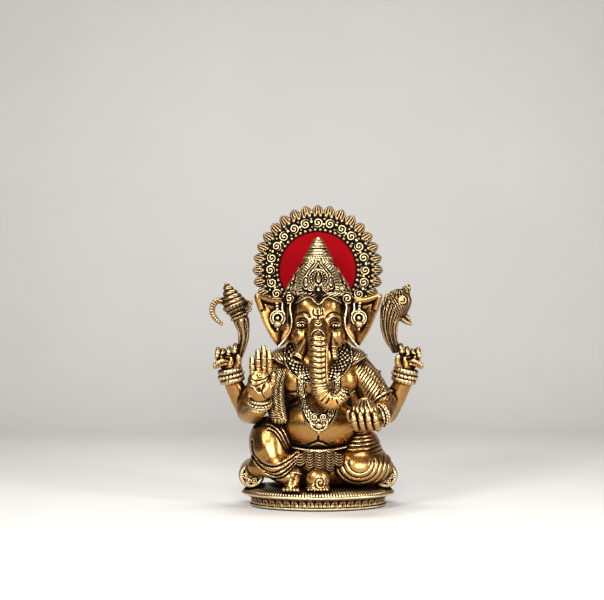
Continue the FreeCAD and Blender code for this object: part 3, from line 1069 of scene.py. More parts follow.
def waist_sash_field(p):
    """Gathered pleats: groups of nested hanging folds under a corded belt."""
    x, y, z, _, bulge, low = ruffle_view(p)
    d = egg(p, *APRON) - 1.8 * np.sqrt(bulge) - 1.3 * ruffle_folds(z, bulge)
    top = 7.6 - 0.012 * x * x
    lowest = low - 5.6 - RUFFLE_SAG * bulge
    band = np.maximum(z - top, lowest - z)
    d = np.maximum(d, np.maximum(band, y + 13))
    belt = tube(p, [(*near("torso", dx, -24 + 0.024 * dx * dx, -39.4 + 0.004 * dx * dx), 1.15)
                    for dx in (-20, -14, -7, 0, 7, 14, 20)], 3)
    return join(d, belt[0] - 0.3 * ridges(belt[1] / 1.6, 0.8), 0.4)


def shawl_field(p):
    """Three folds side by side, with a woven slant across them."""
    d = None
    for fold in (-1, 0, 1):
        dx, big = fold * 3.7, 3.6 - 0.5 * abs(fold)
        stations = route("shawl", [(2.6 + dx, 5.0, 19, big), (-0.4 + dx, 0.5, 6, big + 0.6),
                                   (0.6 + dx, -4.0, -8, big + 0.6), (3.6 + dx * 0.8, -6.5, -16.5, big)])
        body, along, out = tube(p, stations, 4)
        slant = ridges((along - 0.9 * out[0]) / 2.0, 0.5)
        body = body - 1.0 * slant
        d = body if d is None else join(d, body, 0.5)
    return d


def lattice_dots(a, b, pitch, dot):
    """Height of a bead in every diamond of a lattice."""
    u, v = (a + b) / pitch, (a - b) / pitch
    return fade((dot - length(near_whole(u), near_whole(v)) * pitch) * 1.6)


GARLAND_BEADS = 21                         # beads of its edge for each radian of its loop


def garland_view(p):
    """How far a point is across the garland, its angle round the loop, and where it is."""
    x, y, z = local(p, near("torso", 0.6, 0, 12))
    off = (length(x / 13.6, z / 30) - 1) * 16
    return np.abs(off), np.arctan2(z, x * 2), y, z


def garland_stain(p):
    """Patina beside the garland's strip and between the beads of its edges."""
    off, turn, _, _ = garland_view(p)
    gaps = groove(near_whole(turn * GARLAND_BEADS), 0.18) * fade((off - 2.4) * 3)
    return groove(off - 2.35, 0.38) + 0.8 * gaps + 0.8 * fade((off - 3.9) * 3)


def long_necklace_field(p):
    """A garland's flat strip with rosettes, edged with beads, hanging to the pendant."""
    off, turn, y, z = garland_view(p)
    skin = skin_of_torso(p)
    strip = fade((2.3 - off) * 3)
    rosette = length(near_whole(turn * 7) * 3.4, off)
    lay = 0.5 + 1.2 * strip - 0.4 * strip * groove(rosette - 1.2, 0.35)
    edge = 1.3 * groove(off - 3.3, 0.6) * (1 + 0.5 * ridges(turn * GARLAND_BEADS, 0.8))
    d = np.maximum(skin - lay - edge, -skin - 1)
    return np.maximum(d, np.maximum(off - 4.1, np.maximum(z - 5, y - 11)))


def pendant_field(p):
    """A round locket with two coils, a rim of beads and a drop."""
    c = mid("pendant")
    x, y, z = local(p, c)
    d = egg(p, c + (0, 0.6, 0.4), (5.0, 2.2, 5.4))
    d = join(d, egg(p, c + (0, -1, -2.0), (2.6, 1.8, 2.3)), 0.6)
    for side in SIDES.values():
        coil = spiral(x - side * 3.3, z - 4.2, 2.7, 1.5, 0.42, side)
        d = join(d, np.maximum(coil, np.abs(y + 0.9) - 1.1), 0.35)
        d = join(d, egg(p, c + (side * 1.7, -1.5, 0.9), (0.75, 0.7, 0.75)), 0.2)
    for i in range(17):
        a = math.radians(155 + 230 * i / 16)
        d = join(d, egg(p, c + (6.0 * math.cos(a), -0.2, 5.9 * math.sin(a) + 0.3), (1.0, 1.1, 1.0)), 0.25)
    return join(d, egg(p, c + (0, 0, -6.6), (1.3, 1.2, 1.5)), 0.3)


def collar_view(p):
    """How far out a point is on the collar, 0 to 1, its angle round the neck, and the beads."""
    x, _, z = local(p, near("torso", 0, 0, 30))
    reach, turn = polar(x / 25, z / 21)
    t = (reach - 0.58) / 0.42
    return t, turn, lattice_dots(t * 8.6, turn * 15, 3.0, 1.6)


def collar_stain(p):
    """Patina between the collar's beads."""
    t, _, dots = collar_view(p)
    beside = groove(t - 0.12, 0.04) + groove(t - 0.89, 0.04) + groove(t - 1.1, 0.04)
    return (0.65 * (1 - dots) * (t > 0.12) * (t < 0.9) + beside) * (t < 1.2)


def collar_field(p):
    """Rows of beads and lattice round the neck, with a hatched cap over each shoulder."""
    t, turn, dots = collar_view(p)
    y = p[1] - mid("torso")[1]
    skin = skin_of_torso(p)
    bands = 1.6 * (groove(t, 0.08) + groove(t - 1, 0.08)) * (1 + 0.35 * ridges(turn * 11, 0.8))
    d = np.maximum(skin - 0.6 - 1.7 * dots * (t < 0.9) - bands, -skin - 1)
    d = np.maximum(d, np.maximum(np.maximum(-t - 0.06, t - 1.08) * 9, y - 9.6))
    for side in SIDES.values():
        c = near("torso", side * 26.5, 1.5, 22.5)
        cap = egg(p, c, (11.5, 12.6, 12.4))
        u, _, w = local(p, c)
        u = u * side
        hatch = ridges((0.8 * u - 0.6 * w) / 1.9, 0.6) + 0.6 * ridges((0.6 * u + 0.8 * w) / 3.8, 0.6)
        low_edge = 0.55 * u - w + 0.4
        rim = 1.2 * groove(low_edge + 1.0, 0.5)
        boss = length(u + 6.0, w - 6.5)
        flower = 1.2 * fade((3.4 - boss) * 1.5) - 0.8 * groove(boss - 2.0, 0.35)
        cap = np.maximum(cap - 0.6 - 0.55 * hatch - rim - flower, low_edge)
        d = join(d, np.maximum(cap, y - 6), 0.3)
    return d


def make_base():
    sculpt("plinth", "base_plinth", plinth_field(), "base", 0.5, 1.5)
    sculpt("seat", "seat_plate", seat_field(), "base", 0.42, 1.5, stain_and_painted_shade=seat_stain)
    for name in SIDES:
        sculpt(f"bolster_{name}", f"{name}_bolster", bolster_field(name), "ornament", 0.42, 1.5)


def make_body():
    sculpt("body", "torso", torso_field, "figure", 0.55, stain_and_painted_shade=torso_stain)
    sculpt("dhoti_seat", "hips", hips_field, "figure", 0.55)
    # the right leg is darkened all over: painted shade that tones down the key light on the raised knee
    sculpt("leg_right", "right_leg", right_leg_field, "figure", 0.4, stain_and_painted_shade=even_darkening(0.13))
    sculpt("leg_left", "left_leg", left_leg_field, "figure", 0.42)
    sculpt("foot_right", "right_foot", right_foot_field, "figure", 0.28)
    sculpt("foot_left", "left_foot", left_foot_field, "figure", 0.28)


def make_dress():
    sculpt("sash", "waist_sash", waist_sash_field, "ornament", 0.35, stain_and_painted_shade=waist_sash_stain)
    sculpt("stole", "shawl", shawl_field, "ornament", 0.38, stain_and_painted_shade=even_darkening(0.2))
    sculpt("garland", "long_necklace", long_necklace_field, "ornament", 0.3, stain_and_painted_shade=garland_stain)
    sculpt("locket", "pendant", pendant_field, "ornament", 0.26)
    sculpt("collar", "collar_necklace", collar_field, "ornament", 0.36, 11, stain_and_painted_shade=collar_stain)


# ---- head ----

def almond(u, v, half_u, half_v):
    """Signed distance to a pointed eye shape."""
    big = (half_u ** 2 + half_v ** 2) / (2 * half_v)
    drop = big - half_v
    return np.maximum(length(u, v + drop), length(u, v - drop)) - big


TRIDENT = [[(-3.8, 7.4), (-4.0, 5.2), (-3.0, 3.4), (-0.4, 2.7)],
           [(3.0, 7.4), (3.2, 5.2), (2.2, 3.4), (-0.4, 2.7)],
           [(-0.4, 7.4), (-0.4, 3.2), (-0.4, 0.2)]]
CRESCENT = [[(-1.7, -2.6), (-0.3, -3.3), (1.1, -2.6)]]
MARK = lines_on("head", TRIDENT + CRESCENT)
EYE_SPOT = (12.4, -15.0, -4.2)              # outwards, back, up from the middle of the head


def skin_of_head(p):
    d = egg(p, *SKULL)
    for side in SIDES.values():
        d = join(d, egg(p, near("head", side * 7.2, -10.5, 9.5), (8.6, 7.4, 8.6)), 4)
        d = join(d, egg(p, near("head", side * 12.6, -9.5, -12), (7.2, 8.5, 9.2)), 3)
    d = join(d, egg(p, near("head", 0, 10, -14), (29, 9, 12)), 3)
    root = route("head", [(0, -11, 3, 9.4), (0, -15, -5, 9.2), (0, -20, -14, 8.2)])
    return join(d, tube(p, root, 3)[0], 4)


def eye_view(p, side):
    """Points seen from an eye's middle, across it, out of it and up it."""
    out, back, up = EYE_SPOT
    return local(p, near("head", side * out, back, up), turned_by((0, 0, 1), side * 24).T)


def eye_lines(p):
    """Distance to the lines of the eyes: lids, the fold over them and the iris."""
    best = np.full(p.shape[1], 9.0, np.float32)
    for side in SIDES.values():
        u, v, w = eye_view(p, side)
        lines = np.abs(length(u, w) - 1.3)
        for across, tall, rise in ((3.8, 1.85, 0.0), (4.9, 3.0, 0.6)):
            lines = np.minimum(lines, np.abs(almond(u, w - rise, across, tall)))
        best = np.minimum(best, np.where(np.abs(v) > 7, 9, lines))
    return best


def head_field(p):
    d = skin_of_head(p)
    for side in SIDES.values():
        brow = route("head", [(side * 17.2, -7.5, -2.6, 0.8), (side * 14.9, -13.4, 1.8, 1.3),
                              (side * 10.8, -17.4, 3.2, 1.6), (side * 7.2, -19.8, 0.6, 1.4),
                              (side * 6.3, -20.8, -5.4, 0.8)])
        out, back, up = EYE_SPOT
        eye = near("head", side * out, back, up)
        d = cut(d, egg(p, eye + (side * 0.2, -3.4, 0.8), (5.2, 2.1, 3.2)), 2.4)
        d = join(d, tube(p, brow, 4)[0], 1.5)
        d = join(d, egg(p, eye + (0, 0.7, 0.1), (5.0, 2.4, 3.0)), 1.6)
    face = front(p, mid("head")[1] - 6, 4)
    d = d + 0.85 * face * groove(eye_lines(p), 0.36)
    x, y, z = local(p, mid("head"))
    dot = length(x + 0.3, z + 1.4)
    d = d + 0.9 * face * groove(seen(p, MARK), 0.5) - 0.6 * face * fade((0.9 - dot) * 3)
    rear = fade((y - 2) / 5)
    strands = ridges(np.arctan2(x, z - 18) * 13, 0.8)
    return d - 0.5 * rear * strands


def head_lines_and_light(p):
    """Patina along the eyes' lines and the mark on the forehead, less a painted lift of light over the whole
    face.
    """
    face = front(p, mid("head")[1] - 6, 4)
    # the 0.14 taken off everywhere is painted light: it brightens the whole face
    return face * (1.2 * groove(eye_lines(p), 0.38) + 1.1 * groove(seen(p, MARK), 0.5)) - 0.14


TRUNK = [(-6.6, 7.5, 27, 8.4), (-6.6, 0, 17, 7.8), (-6.6, -4.4, 3, 7.2), (-6.2, -6.6, -10, 6.8),
         (-4.4, -7.8, -21, 6.6), (1.2, -9, -27.2, 6.2), (7.4, -9, -26.4, 5.3), (11.6, -8.2, -22, 4.4)]
RING_PITCH = 3.7
DOME = lines_on("trunk", [[(-11.4, 19.6), (-10.5, 21.6), (-9, 22.9), (-7.1, 23.5), (-5.2, 22.9),
                           (-3.9, 21.6), (-3.1, 19.6)]])


def trunk_rings(p):
    """The trunk's plain tube, how far along it, the ring count and where its front is."""
    d, along, out = tube(p, route("trunk", TRUNK), 6)
    slope = np.maximum(length(*out), 1e-3)
    bend_way = fade((along - 45) / 11)
    across = (out[0] * (1 - bend_way) + out[2] * bend_way) / slope
    face = front(p, mid("trunk")[1] + 3, 5) * fade((0.86 - np.abs(across + 0.08)) * 6)
    inner_side = 1 - bend_way * (1 - fade((across + 0.5) * 3))
    face = np.maximum(face, bend_way * fade((-out[1] - 0.5) / 2)) * fade((along - 12) / 1.5) * inner_side
    t = (along + 2.6 * across ** 2 - 12.4) / (RING_PITCH - 0.95 * bend_way)
    return d, along, across, face, t, bend_way


def trunk_field(p):
    d, along, across, face, t, bend_way = trunk_rings(p)
    d = d - 0.7 * face - 1.5 * face * ridges(t, 0.25)
    fore = front(p, mid("trunk")[1] + 6, 4)
    d = d + 0.8 * fore * groove(seen(p, DOME), 0.42) + 0.9 * fore * groove(seen(p, MARK), 0.5)
    side_line = groove(across - 0.80, 0.055) + groove(across + 0.90, 0.05)
    d = d + 0.7 * side_line * (1 - bend_way) * fore * fade((along - 14) / 4)
    tip = route("trunk", TRUNK)[-1]
    mouth = egg(p, (tip[0] + 1.2, tip[1] - 1.4, tip[2] + 3.4), (2.6, 2.6, 2.6))
    lip = torus(p, (tip[0] + 0.5, tip[1] - 0.6, tip[2] + 2.0), (0.35, -0.45, 0.8), 3.4, 0.75)
    return cut(join(d, lip, 0.8), mouth, 0.5)


def trunk_stain(p):
    """Patina between the trunk's rings and along the lines at its root."""
    face, t = trunk_rings(p)[3:5]
    drawn = groove(seen(p, DOME), 0.5) + groove(seen(p, MARK), 0.5)
    return face * groove(near_whole(t), 0.09) + front(p, mid("trunk")[1] + 6, 4) * drawn


def right_tusk_field(p):
    """Broken short, with a hollow end."""
    stations = route("right_tusk", [(4.2, 5.2, 7.2, 3.8), (0, 0, -0.4, 4.3), (-3.4, -3.6, -6, 4.7)])
    d = tube(p, stations, 3)[0]
    tip = np.array(stations[-1][:3])
    way = tip - np.array(stations[0][:3])
    q = local(p, tip, basis(way))
    d = np.maximum(d, q[2] - 1.2)
    bore = np.maximum(length(q[0], q[1]) - 3.9, -q[2] - 4.8)
    collar = torus(p, tip - 0.9 * way / np.linalg.norm(way), way, 4.5, 0.5)
    return join(cut(d, bore, 0.5), collar, 0.4)


def left_tusk_field(p):
    stations = route("left_tusk", [(-0.6, 5, 6.6, 3.2), (0.6, 0, 0, 3.1), (1.4, -3.4, -5.6, 2.6)])
    d, along, _ = tube(p, stations, 3)
    band = torus(p, stations[1][:3], (0.1, -0.5, -0.8), 3.1, 0.6)
    return join(d - 0.4 * ridges(along / 2.4, 0.6), band, 0.4)


EAR_TURN = math.radians(14)
EAR_SHAPE = shape_plan([(29.2, 19), (17.5, 16.4), (3.8, 14.4), (-1.0, 1.4), (1.7, -10.6), (10.8, -19.3),
                        (17.8, -12), (23, -2), (27, 8.6)], 5)
EAR_CORD = [(19.6, -8.8, 14.5), (20.8, -9.4, 8), (19.4, -10.2, 0), (20.6, -9.6, -8), (24.6, -8.6, -14.5),
            (29.6, -8.8, -20.2)]


def ear_field(name):
    """A shallow bowl with a rolled rim, thick along its top. EAR_SHAPE is (outwards, up)."""
    side = SIDES[name]
    node = f"{name}_ear"
    low, high = box(node)
    hinge = np.array([low[0] if side > 0 else high[0], (low[1] + high[1]) / 2 + 3.6, mid(node)[2]])
    outwards = (side * math.cos(EAR_TURN), -math.sin(EAR_TURN), 0)
    forwards = (-side * math.sin(EAR_TURN), -math.cos(EAR_TURN), 0)

    def field(p):
        u, n, w = local(p, hinge, (outwards, forwards, (0, 0, 1)))
        edge = -EAR_SHAPE(u, w)
        inner = fade(edge / 9.0)
        wave = 0.25 * np.sin(w / 3.6 + u / 4)
        leaf = 1.2 - 2.1 * inner + wave * inner
        d = length(np.maximum(-edge, 0), np.maximum(np.abs(n - leaf) - 0.9, 0)) - 0.25
        d = np.where(edge > 0, np.abs(n - leaf) - 1.15, d)
        top = fade((w + 0.28 * u - 12.6) / 3.5)
        rim = length(edge - 0.3 - 1.2 * top, n - 1.3 - 0.5 * top) - (0.4 + 1.9 * top)
        d = join(d, rim, 0.5)
        return d + 1.1 * top * groove(edge - 4.6, 0.7) * (n > 0)
    return field


def ear_cord_field(name):
    """The beaded cord along the ear's inner edge."""
    side = SIDES[name]

    def field(p):
        places = [near("head", side * u, y, z) for u, y, z in EAR_CORD]
        wire = tube(p, [(*place, 0.8) for place in places], 4)[0]
        beads = string_of_beads(p, [place + (0, -0.3, 0) for place in places], 0.72, 4)
        return np.minimum(wire, beads + 0.1)
    return field


def earring_field(name):
    side = SIDES[name]
    node = f"{name}_earring"

    def field(p):
        c = near(node, 0, 0, -2.1)
        x, y, z = local(p, c)
        ring = torus(p, c, (0, 1, 0), 3.6, 0.8)
        r, turn = polar(x, z)
        beads = length(r - 3.6, y, near_whole(turn * 8 / np.pi) * 1.42) - 0.95
        d = join(ring, beads, 0.15)
        d = join(d, torus(p, c, (0, 1, 0), 5.4, 0.45), 0.3)
        for place, half in (((0, -0.6, -4.6), (2.9, 2.4, 2.9)), ((0, -0.4, -8.2), (1.0, 1.0, 1.4)),
                            ((0, -1.0, 0), (1.5, 1.4, 1.5))):
            d = join(d, egg(p, c + place, half), 0.3)
        for i in range(4):
            d = join(d, egg(p, c + (side * 0.2 * i, 0.3, 4.6 + 2.1 * i), (1.25, 1.1, 1.1)), 0.2)
        hook = outward(node, side, [(-3.6, 0.6, 9.0, 0.7), (-3.4, 0, 4, 0.7), (-5.2, -0.3, 0.6, 0.6)])
        return join(d, tube(p, hook, 3)[0], 0.3)
    return field


# ---- crown ----

CROWN_DEPTH = 0.86                         # depth over width of the crown and its finial
CROWN_WALL = ((0, 22.3), (2.5, 24), (5, 23.8), (9, 22), (15, 18.4), (21.5, 14.2), (28, 10.4))
CROWN_COILS = ((7.0, 14, 3.5), (13.5, 12, 3.0), (19.5, 10, 2.5))     # height, how many, radius
ARCH = [(-10.6, -9.4), (-11.2, -3.5), (-8.8, 3.2), (-4.4, 8.6), (0, 13.2)]
ARCH_LINE = ARCH + [(-u, w) for u, w in ARCH[-2::-1]]
ARCH_PLAN = lines_plan([ARCH_LINE], 4, 12)
ARCH_SHAPE = shape_plan(ARCH_LINE, 3, 12)
PLAQUE_SHAPE = shape_plan(ARCH_LINE + [(0, -11.5)], 3)
DROP_SHAPE = shape_plan([(0, 7.4), (2.2, 3.6), (3.0, 0), (2.0, -3.0), (0, -4.2), (-2.0, -3.0),
                         (-3.0, 0), (-2.2, 3.6)], 3)


def crown_wall(p):
    """Distance out of the crown's plain cone, height over its base, and the turn round it."""
    x, y, z = local(p, mid("crown"))
    low, high = box("crown")
    up = z + (high[2] - low[2]) / 2
    r, slope = oval(x, y, CROWN_DEPTH)
    heights, radii = zip(*CROWN_WALL)
    return (r - np.interp(up, heights, radii)) / slope * 0.87, up, np.arctan2(x, -y / CROWN_DEPTH)


def crown_field(p):
    """A stepped cone with a rayed arch in front, rows of coils round it and a roped hem."""
    d, up, turn = crown_wall(p)
    x, y, z = local(p, mid("crown"))
    off, along = ARCH_PLAN(x, z)
    inside = ARCH_SHAPE(x, z) < 0
    face = fade((-y - 2) / 4)
    out_of_arch = np.where(inside, -off, off)
    rays = ridges(along / 1.75, 0.7) * fade((4.6 - out_of_arch) * 1.5) * fade((out_of_arch - 0.9) * 2)
    ray_band = fade((4.9 - out_of_arch) * 2) * fade((out_of_arch - 0.7) * 2)
    height = face * (0.8 * ray_band + 0.8 * rays * ray_band + 0.9 * groove(out_of_arch - 0.4, 0.45)
                     + 0.8 * groove(out_of_arch - 5.4, 0.4))
    rest = 1 - face * fade((5.6 - out_of_arch) * 2)
    scroll = np.zeros_like(x)
    for row, (level, count, size) in enumerate(CROWN_COILS):
        radius = np.interp(level, *zip(*CROWN_WALL))
        u = from_mark(turn, count, radius, 0.5 * row)
        hand = hand_at(turn, count, 0.5 * row)
        coil = spiral(hand * u, up - level, size, size * 0.52, 0.36)
        scroll = np.maximum(scroll, fade(0.5 - coil * 2.2))
        pearl = length(np.abs(u) - np.pi * radius / count, up - level - size * 0.9)
        scroll = np.maximum(scroll, 1.1 * fade(1.4 - pearl * 1.3))
    height = height + 0.85 * scroll * rest * fade((up - 2.6) / 1) * fade((24.5 - up) / 1)
    rope = ridges(turn * 18 / np.pi - up * 0.5, 0.6)
    hem = fade((2.4 - np.abs(up - 1.4)) * 1.6) * (0.9 + 1.1 * rope)
    top = fade((up - 24.4) * 1.5) * (0.5 + 0.4 * ridges(turn * 14 / np.pi, 0.7))
    d = d - height - hem - top
    low = box("crown")[0][2]
    floor = low - 0.6 + 0.004 * x * x * face
    core, _, _ = crown_wall(p + np.array([[0], [0], [3.0]], np.float32))
    d = np.maximum(d, floor - p[2])
    d = np.maximum(d, p[2] - (box("crown")[1][2] + 0.2))
    return cut(d, core + 4.0, 0.4)


FINIAL_WALL = ((-0.5, 10.2), (0, 10.8), (1.5, 10.9), (3.2, 9.6), (3.6, 9.9), (5.6, 8.0), (6.0, 8.3),
               (8.0, 6.3), (8.5, 7.2), (10.3, 6.2), (10.8, 6.3), (12.4, 4.6), (12.9, 4.7), (14.6, 3.4),
               (16.2, 2.2))
FINIAL_GROOVES = (3.4, 5.8, 8.25, 10.6, 12.7)


def finial_field(p):
    x, y, z = local(p, mid("crown_finial"))
    low, high = box("crown_finial")
    up = z + (high[2] - low[2]) / 2
    r, slope = oval(x, y, CROWN_DEPTH)
    turn = np.arctan2(x, -y)
    wall = np.interp(up, *zip(*FINIAL_WALL))
    d = (r - wall) / slope * 0.8
    for ring in FINIAL_GROOVES:
        d = d + 0.5 * groove(up - ring, 0.32)
    flute = ridges(turn * 14 / np.pi + 0.12 * up, 0.7) * fade((3.0 - up) * 1.2)
    lace = ridges(turn * 11 / np.pi, 0.8) * groove(up - 9.4, 0.8)
    d = d - 0.5 * flute - 0.3 * lace
    d = join(np.maximum(d, up - 15.2), egg(p, near("crown_finial", 0, 0, 6.6), (2.4, 2.2, 2.2)), 0.4)
    return np.maximum(d, -up - 0.2)


def jewel_field(p):
    """A pointed frame of fine lines round a drop set in beads, lying on the crown's slope."""
    wall = crown_wall(p)[0]
    x, _, z = local(p, mid("crown"))
    inside = -PLAQUE_SHAPE(x, z)
    peak = fade((z - 1) / 2)
    height = 1.0 + peak * (0.75 * groove(inside - 0.5, 0.42) + 0.7 * groove(inside - 2.1, 0.4))
    bud = DROP_SHAPE(x * 1.35, (z + 1) * 1.35) / 1.35
    height = height + 1.9 * fade(0.25 - bud * 0.6) + 0.8 * groove(bud - 1.2, 0.35)
    r, turn = polar(x, z + 0.6)
    height = height + 1.1 * groove(r - 6.9, 0.5) * (z > -6)
    lobe = length(from_mark(turn, 18, 5.3), r - 5.3)
    height = height + 1.2 * fade((0.95 - lobe) * 1.6)
    cabochon = length(2.1 * (np.abs(x) - 9.3), z + 3.4) - 3.2
    height = height + 1.5 * fade(0.3 - cabochon * 0.6) + 0.7 * groove(cabochon - 1.5, 0.45)
    for side in SIDES.values():
        coil = spiral(x - side * 5.4, z + 7.4, 2.8, 1.5, 0.4, side)
        height = height + 0.9 * fade(0.5 - coil * 2)
        leaf = egg_2d(x - side * 2.6, z + 5.6, 1.2, 2.2, side * 0.6)
        height = height + 0.8 * fade(0.5 - leaf * 1.6)
    pearl = length(x, z + 8.6)
    height = height + 1.3 * fade(1.8 - pearl)
    d = wall - height
    shape = np.maximum(-inside - 0.9, -2.4 - wall)
    return np.maximum(np.maximum(d, shape), p[1] - mid("crown")[1] + 3)


def egg_2d(u, v, half_u, half_v, lean):
    a, b = math.cos(lean), math.sin(lean)
    return (length((a * u + b * v) / half_u, (a * v - b * u) / half_v) - 1) * min(half_u, half_v)


BROW = [(-20.6, 9.6), (-16.5, 12.8), (-11.8, 15.6), (-7, 17.2), (-3.4, 15.2), (0, 11.8)]
BROW_PLAN = lines_plan([BROW + [(-u, w) for u, w in BROW[-2::-1]]], 5, 8)
STRAP = [(19.0, -8.5, 13.0, 0.85), (20.4, -7.0, 6.5, 0.85), (20.8, -6.4, -1, 0.85), (19.6, -7.2, -8.5, 0.85),
         (17.5, -8, -14.5, 0.85)]


def brow_field(p):
    """Two roped cords that bow over the forehead and dip to its middle."""
    head = skin_of_head(p)
    x, _, z = local(p, mid("head"))
    upper, way = BROW_PLAN(x, z - 1.7)
    lower, _ = BROW_PLAN(x, z + 0.4)
    rope = ridges(way / 1.5, 0.8)
    lift = np.maximum(head - 0.7, 0) + np.minimum(head + 0.6, 0)
    cords = length(np.minimum(upper, lower), lift) - 0.72 - 0.2 * rope
    web = np.maximum(np.maximum(upper - 2.6, -head - 1.5), head - 0.8)
    d = join(cords, web, 0.3)
    d = join(d, egg(p, near("head", 0, -20.2, 16.4), (1.3, 1.2, 1.9)), 0.4)
    for side in SIDES.values():
        d = join(d, egg(p, near("head", side * 18.4, -5, 15.6), (3.4, 3.6, 3.6)), 0.5)
        c = near("head", side * 21.3, -7, 15.6)
        u, _, w = local(p, c)
        coil = egg(p, c, (4.4, 3.4, 4.6)) - 0.8 * fade(0.6 - 2 * spiral(u * side, w, 5, 2.1, 0.5))
        d = join(d, coil, 0.3)
        off, run, _ = tube(p, outward("head", side, STRAP), 4)
        d = join(d, off - 0.2 * ridges(run / 1.3, 0.8), 0.3)
    return np.maximum(d, p[1] - mid("head")[1] - 5)


# ---- halo ----

PETALS = 32
PETAL_FOOT, PETAL_REACH = 42.4, 7.6        # radius at a petal's foot, and its length
PETAL_HALF = 4.45
PETAL_POINT = 3.4                          # higher is squarer
PLATE_INNER, PLATE_OUTER = 28.9, 44.4
COIL_RING, COILS = 36.2, 24                # radius of the ring of coils, and how many
BEAD_ROWS = ((31.0, 50, 1.4, 0), (41.8, 62, 1.45, 0), (44.2, 62, 0.9, 0.5))    # radius, count, bead, shift


def halo_polar(p):
    """A point's radius and turn in the halo's plane, and how far behind its middle it is."""
    x, y, z = local(p, mid("halo_ring"))
    r, turn = polar(x, z)
    return r, turn, y


def halo_plate_field(p):
    """A flat ring with small coils of wire, links and pearls in front and two grooves behind."""
    r, turn, y = halo_polar(p)
    low, high = box("halo_ring")
    half = (high[1] - low[1]) / 2
    d = np.maximum(slab(r, PLATE_INNER, PLATE_OUTER), np.abs(y - 0.6) - half + 0.7)
    rings = np.minimum(np.abs(r - 32), np.abs(r - 41.5))
    d = d + 0.4 * (y > 0.5) * groove(rings, 0.5)
    u = from_mark(turn, COILS, COIL_RING)
    hand = hand_at(turn, COILS)
    off = r - COIL_RING
    coil = spiral(hand * u, off * hand, 3.7, 2.05, 0.5)
    d = join(d, np.maximum(coil * 0.9, np.abs(y + 0.75) - 1.05), 0.3)
    between = np.abs(u) - np.pi * COIL_RING / COILS
    link = length(between, off * hand * np.sign(u) - 1.0) - 0.95
    d = join(d, np.maximum(link, np.abs(y + 0.7) - 1.0), 0.3)
    pearl = length(between, np.abs(off) - 3.1, y + 0.6) - 1.0
    return join(d, pearl, 0.2)


def halo_beads_field(p):
    r, turn, y = halo_polar(p)
    d = None
    for radius, count, bead, shift in BEAD_ROWS:
        u = from_mark(turn, count, radius, shift)
        ball = length(r - radius, u, y + 0.35) - bead
        d = ball if d is None else np.minimum(d, ball)
    return d


def petal_view(r, turn):
    """How far a point is across its petal, in mm, and the petal's half width there."""
    t = np.clip((r - PETAL_FOOT) / PETAL_REACH, 0, 1)
    return from_mark(turn, PETALS, 46), PETAL_HALF * (1 - t ** PETAL_POINT)


def petal_stain(p):
    """Patina in the folds of the petals and between them."""
    r, turn, _ = halo_polar(p)
    u, half_u = petal_view(r, turn)
    across = u / np.maximum(half_u, 0.3)
    ribs = groove(near_whole(across * 2), 0.2) * fade((49 - r) / 2)
    return 0.2 + ribs + fade((np.abs(across) - 0.8) * 6)


def halo_petals_field(p):
    r, turn, y = halo_polar(p)
    u, half_u = petal_view(r, turn)
    half_u = half_u + 0.05
    across = np.clip(u / half_u, -1, 1)
    dome = 1.7 * np.sqrt(1.02 - across ** 2)
    face = 0.4 - dome - 0.9 * ridges(across * 2, 0.45) * fade((1 - np.abs(across)) * 4)
    edge = (np.abs(u) - half_u) * 0.75
    d = np.maximum(np.maximum(face - y, y - 1.35), edge)
    return np.maximum(d, slab(r, PETAL_FOOT - 0.2, PETAL_FOOT + PETAL_REACH))


def disc_field(p):
    x, y, z = local(p, mid("halo_disc"))
    r, turn = polar(x, z)
    low, high = box("halo_disc")
    pucker = 0.07 * np.sin(turn * 9 + 0.7) * fade((r - 14) / 14)
    pucker = pucker + 0.05 * np.sin(x / 4.2) * np.sin(z / 5.1)
    face = (high[1] - low[1]) / 2
    return np.maximum(np.maximum(-y - face + pucker, y - face), r - (high[0] - low[0]) / 2)


def make_head():
    sculpt("face", "head", head_field, "figure", 0.34, stain_and_painted_shade=head_lines_and_light)
    sculpt("trunk_ringed", "trunk", trunk_field, "figure", 0.34, stain_and_painted_shade=trunk_stain)
    sculpt("tusk_right", "right_tusk", right_tusk_field, "figure", 0.26)
    sculpt("tusk_left", "left_tusk", left_tusk_field, "figure", 0.26)
    for name in SIDES:
        # the ears are darkened all over: painted shade on flat faces that catch the front light
        sculpt(f"ear_{name}", f"{name}_ear", ear_field(name), "figure", 0.36, stain_and_painted_shade=even_darkening(0.2))
        sculpt(f"ear_cord_{name}", f"{name}_ear", ear_cord_field(name), "ornament", 0.28, 4,
               stands_for=False)
        sculpt(f"earring_{name}", f"{name}_earring", earring_field(name), "ornament", 0.26, 3)


def make_crown():
    sculpt("crown_cone", "crown", crown_field, "crown", 0.36,
           stain_and_painted_shade=lambda p: 0.8 * fade((0.45 - crown_wall(p)[0]) * 2.5))
    sculpt("crown_top", "crown_finial", finial_field, "crown", 0.28)
    sculpt("crown_plaque", "crown_jewel", jewel_field, "crown", 0.28, 4,
           stain_and_painted_shade=lambda p: 0.8 * fade((1.35 - crown_wall(p)[0]) * 3))
    sculpt("brow_cords", "brow_band", brow_field, "crown", 0.3, 3, stain_and_painted_shade=even_darkening(0.15))


def make_halo():
    sculpt("halo_scrolls", "halo_ring", halo_plate_field, "halo", 0.34, 1.5,
           stain_and_painted_shade=lambda p: fade((halo_polar(p)[2] + 0.9) * 2) * (halo_polar(p)[2] < 1))
    sculpt("halo_beads", "halo_ring", halo_beads_field, "halo", 0.26, 1.5, stands_for=False)
    sculpt("halo_petals", "halo_ring", halo_petals_field, "halo", 0.3, 1.5, stands_for=False,
           stain_and_painted_shade=petal_stain)
    sculpt("halo_cloth", "halo_disc", disc_field, "cloth", 0.45, 1.5)


# ---- arms ----

BANGLE_BANDS = 3
BANGLE_STUDS = 20


